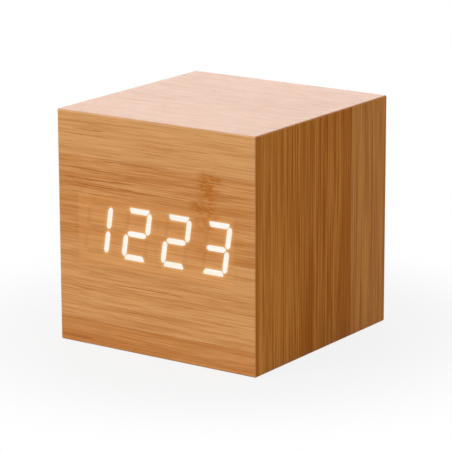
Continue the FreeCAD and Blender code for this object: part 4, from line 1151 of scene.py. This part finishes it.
def make_camera():
    """A long lens from the front right, a little above the cube."""
    camera = bpy.data.cameras.new("camera")
    camera.lens = CAMERA_LENS
    camera.clip_start, camera.clip_end = 0.01, 20.0
    level = math.cos(CAMERA_PITCH)
    ahead = Vector((math.sin(CAMERA_YAW) * level, math.cos(CAMERA_YAW) * level, math.sin(CAMERA_PITCH)))
    right = ahead.cross(UP).normalized()
    up = right.cross(ahead)
    tilted_right = right * math.cos(CAMERA_ROLL) + up * math.sin(CAMERA_ROLL)
    tilted_up = up * math.cos(CAMERA_ROLL) - right * math.sin(CAMERA_ROLL)
    pose = Matrix((tilted_right, tilted_up, -ahead)).transposed().to_4x4()
    pose.translation = CAMERA_AT
    holder = show("camera", camera)
    holder.matrix_world = pose
    bpy.context.scene.camera = holder


def seen_plainly(r):
    """1 for rays from the camera, a mirror or glass, and 0 for rays that carry light."""
    rays = r.step("ShaderNodeLightPath")
    through = r.math("MAXIMUM", rays["Is Glossy Ray"], rays["Is Transmission Ray"])
    return r.math("MAXIMUM", rays["Is Camera Ray"], through)


def make_floor():
    """A white sweep that reads as plain white, but keeps a soft shadow close to the cube."""
    work = bmesh.new()
    under = Matrix.Translation((0, 0, -FLOOR_GAP))
    bmesh.ops.create_grid(work, x_segments=2, y_segments=2, size=FLOOR_SIZE / 2, matrix=under)
    r = Finish("white_sweep")
    paper = r.blend(r.noise(r.at, scale=PAPER_GRAIN), *FLOOR_GREYS)
    lit = r.step("ShaderNodeBsdfPrincipled", {"Roughness": 0.7, "Base Color": paper})[0]
    far = r.vector("LENGTH", r.at)["Value"]
    white = r.ease(far, SHADOW_NEAR, SHADOW_FAR, 1.0 - SHADOW_SHARE, 1.0)
    glow = r.step("ShaderNodeEmission", {"Strength": 1.0})[0]
    mixed = r.step("ShaderNodeMixShader", {0: seen_plainly(r) * white, 1: lit, 2: glow})[0]
    floor = dress(show("floor", plain(work, "floor")), r.surface(mixed))


def make_world():
    """Even light from all round, seen as plain white."""
    world = bpy.data.worlds.new("studio")
    world.use_nodes = True
    world.node_tree.nodes.clear()
    r = Recipe(world.node_tree)
    level = seen_plainly(r) * (1.0 - LIGHT_LEVEL) + LIGHT_LEVEL
    sky = r.step("ShaderNodeBackground", {"Color": (1, 1, 1, 1), "Strength": level})[0]
    r.step("ShaderNodeOutputWorld", {"Surface": sky})
    bpy.context.scene.world = world


def soft_lamp(name, at, size, power):
    """A square soft light that faces the middle of the cube."""
    light = bpy.data.lights.new(name, "AREA")
    light.shape = "SQUARE"
    light.size = size
    light.energy = power
    holder = show(name, light)
    holder.location = at
    toward = UP * HALF - Vector(at)
    holder.rotation_euler = toward.to_track_quat("-Z", "Y").to_euler()


make_camera()
make_floor()
make_world()
soft_lamp("key_lamp", (-0.55, -1.15, 0.85), 0.8, 14.0)
soft_lamp("back_lamp", (-0.77, 1.12, 0.38), 0.9, 3.6)
bpy.context.scene.view_settings.view_transform = "Standard"
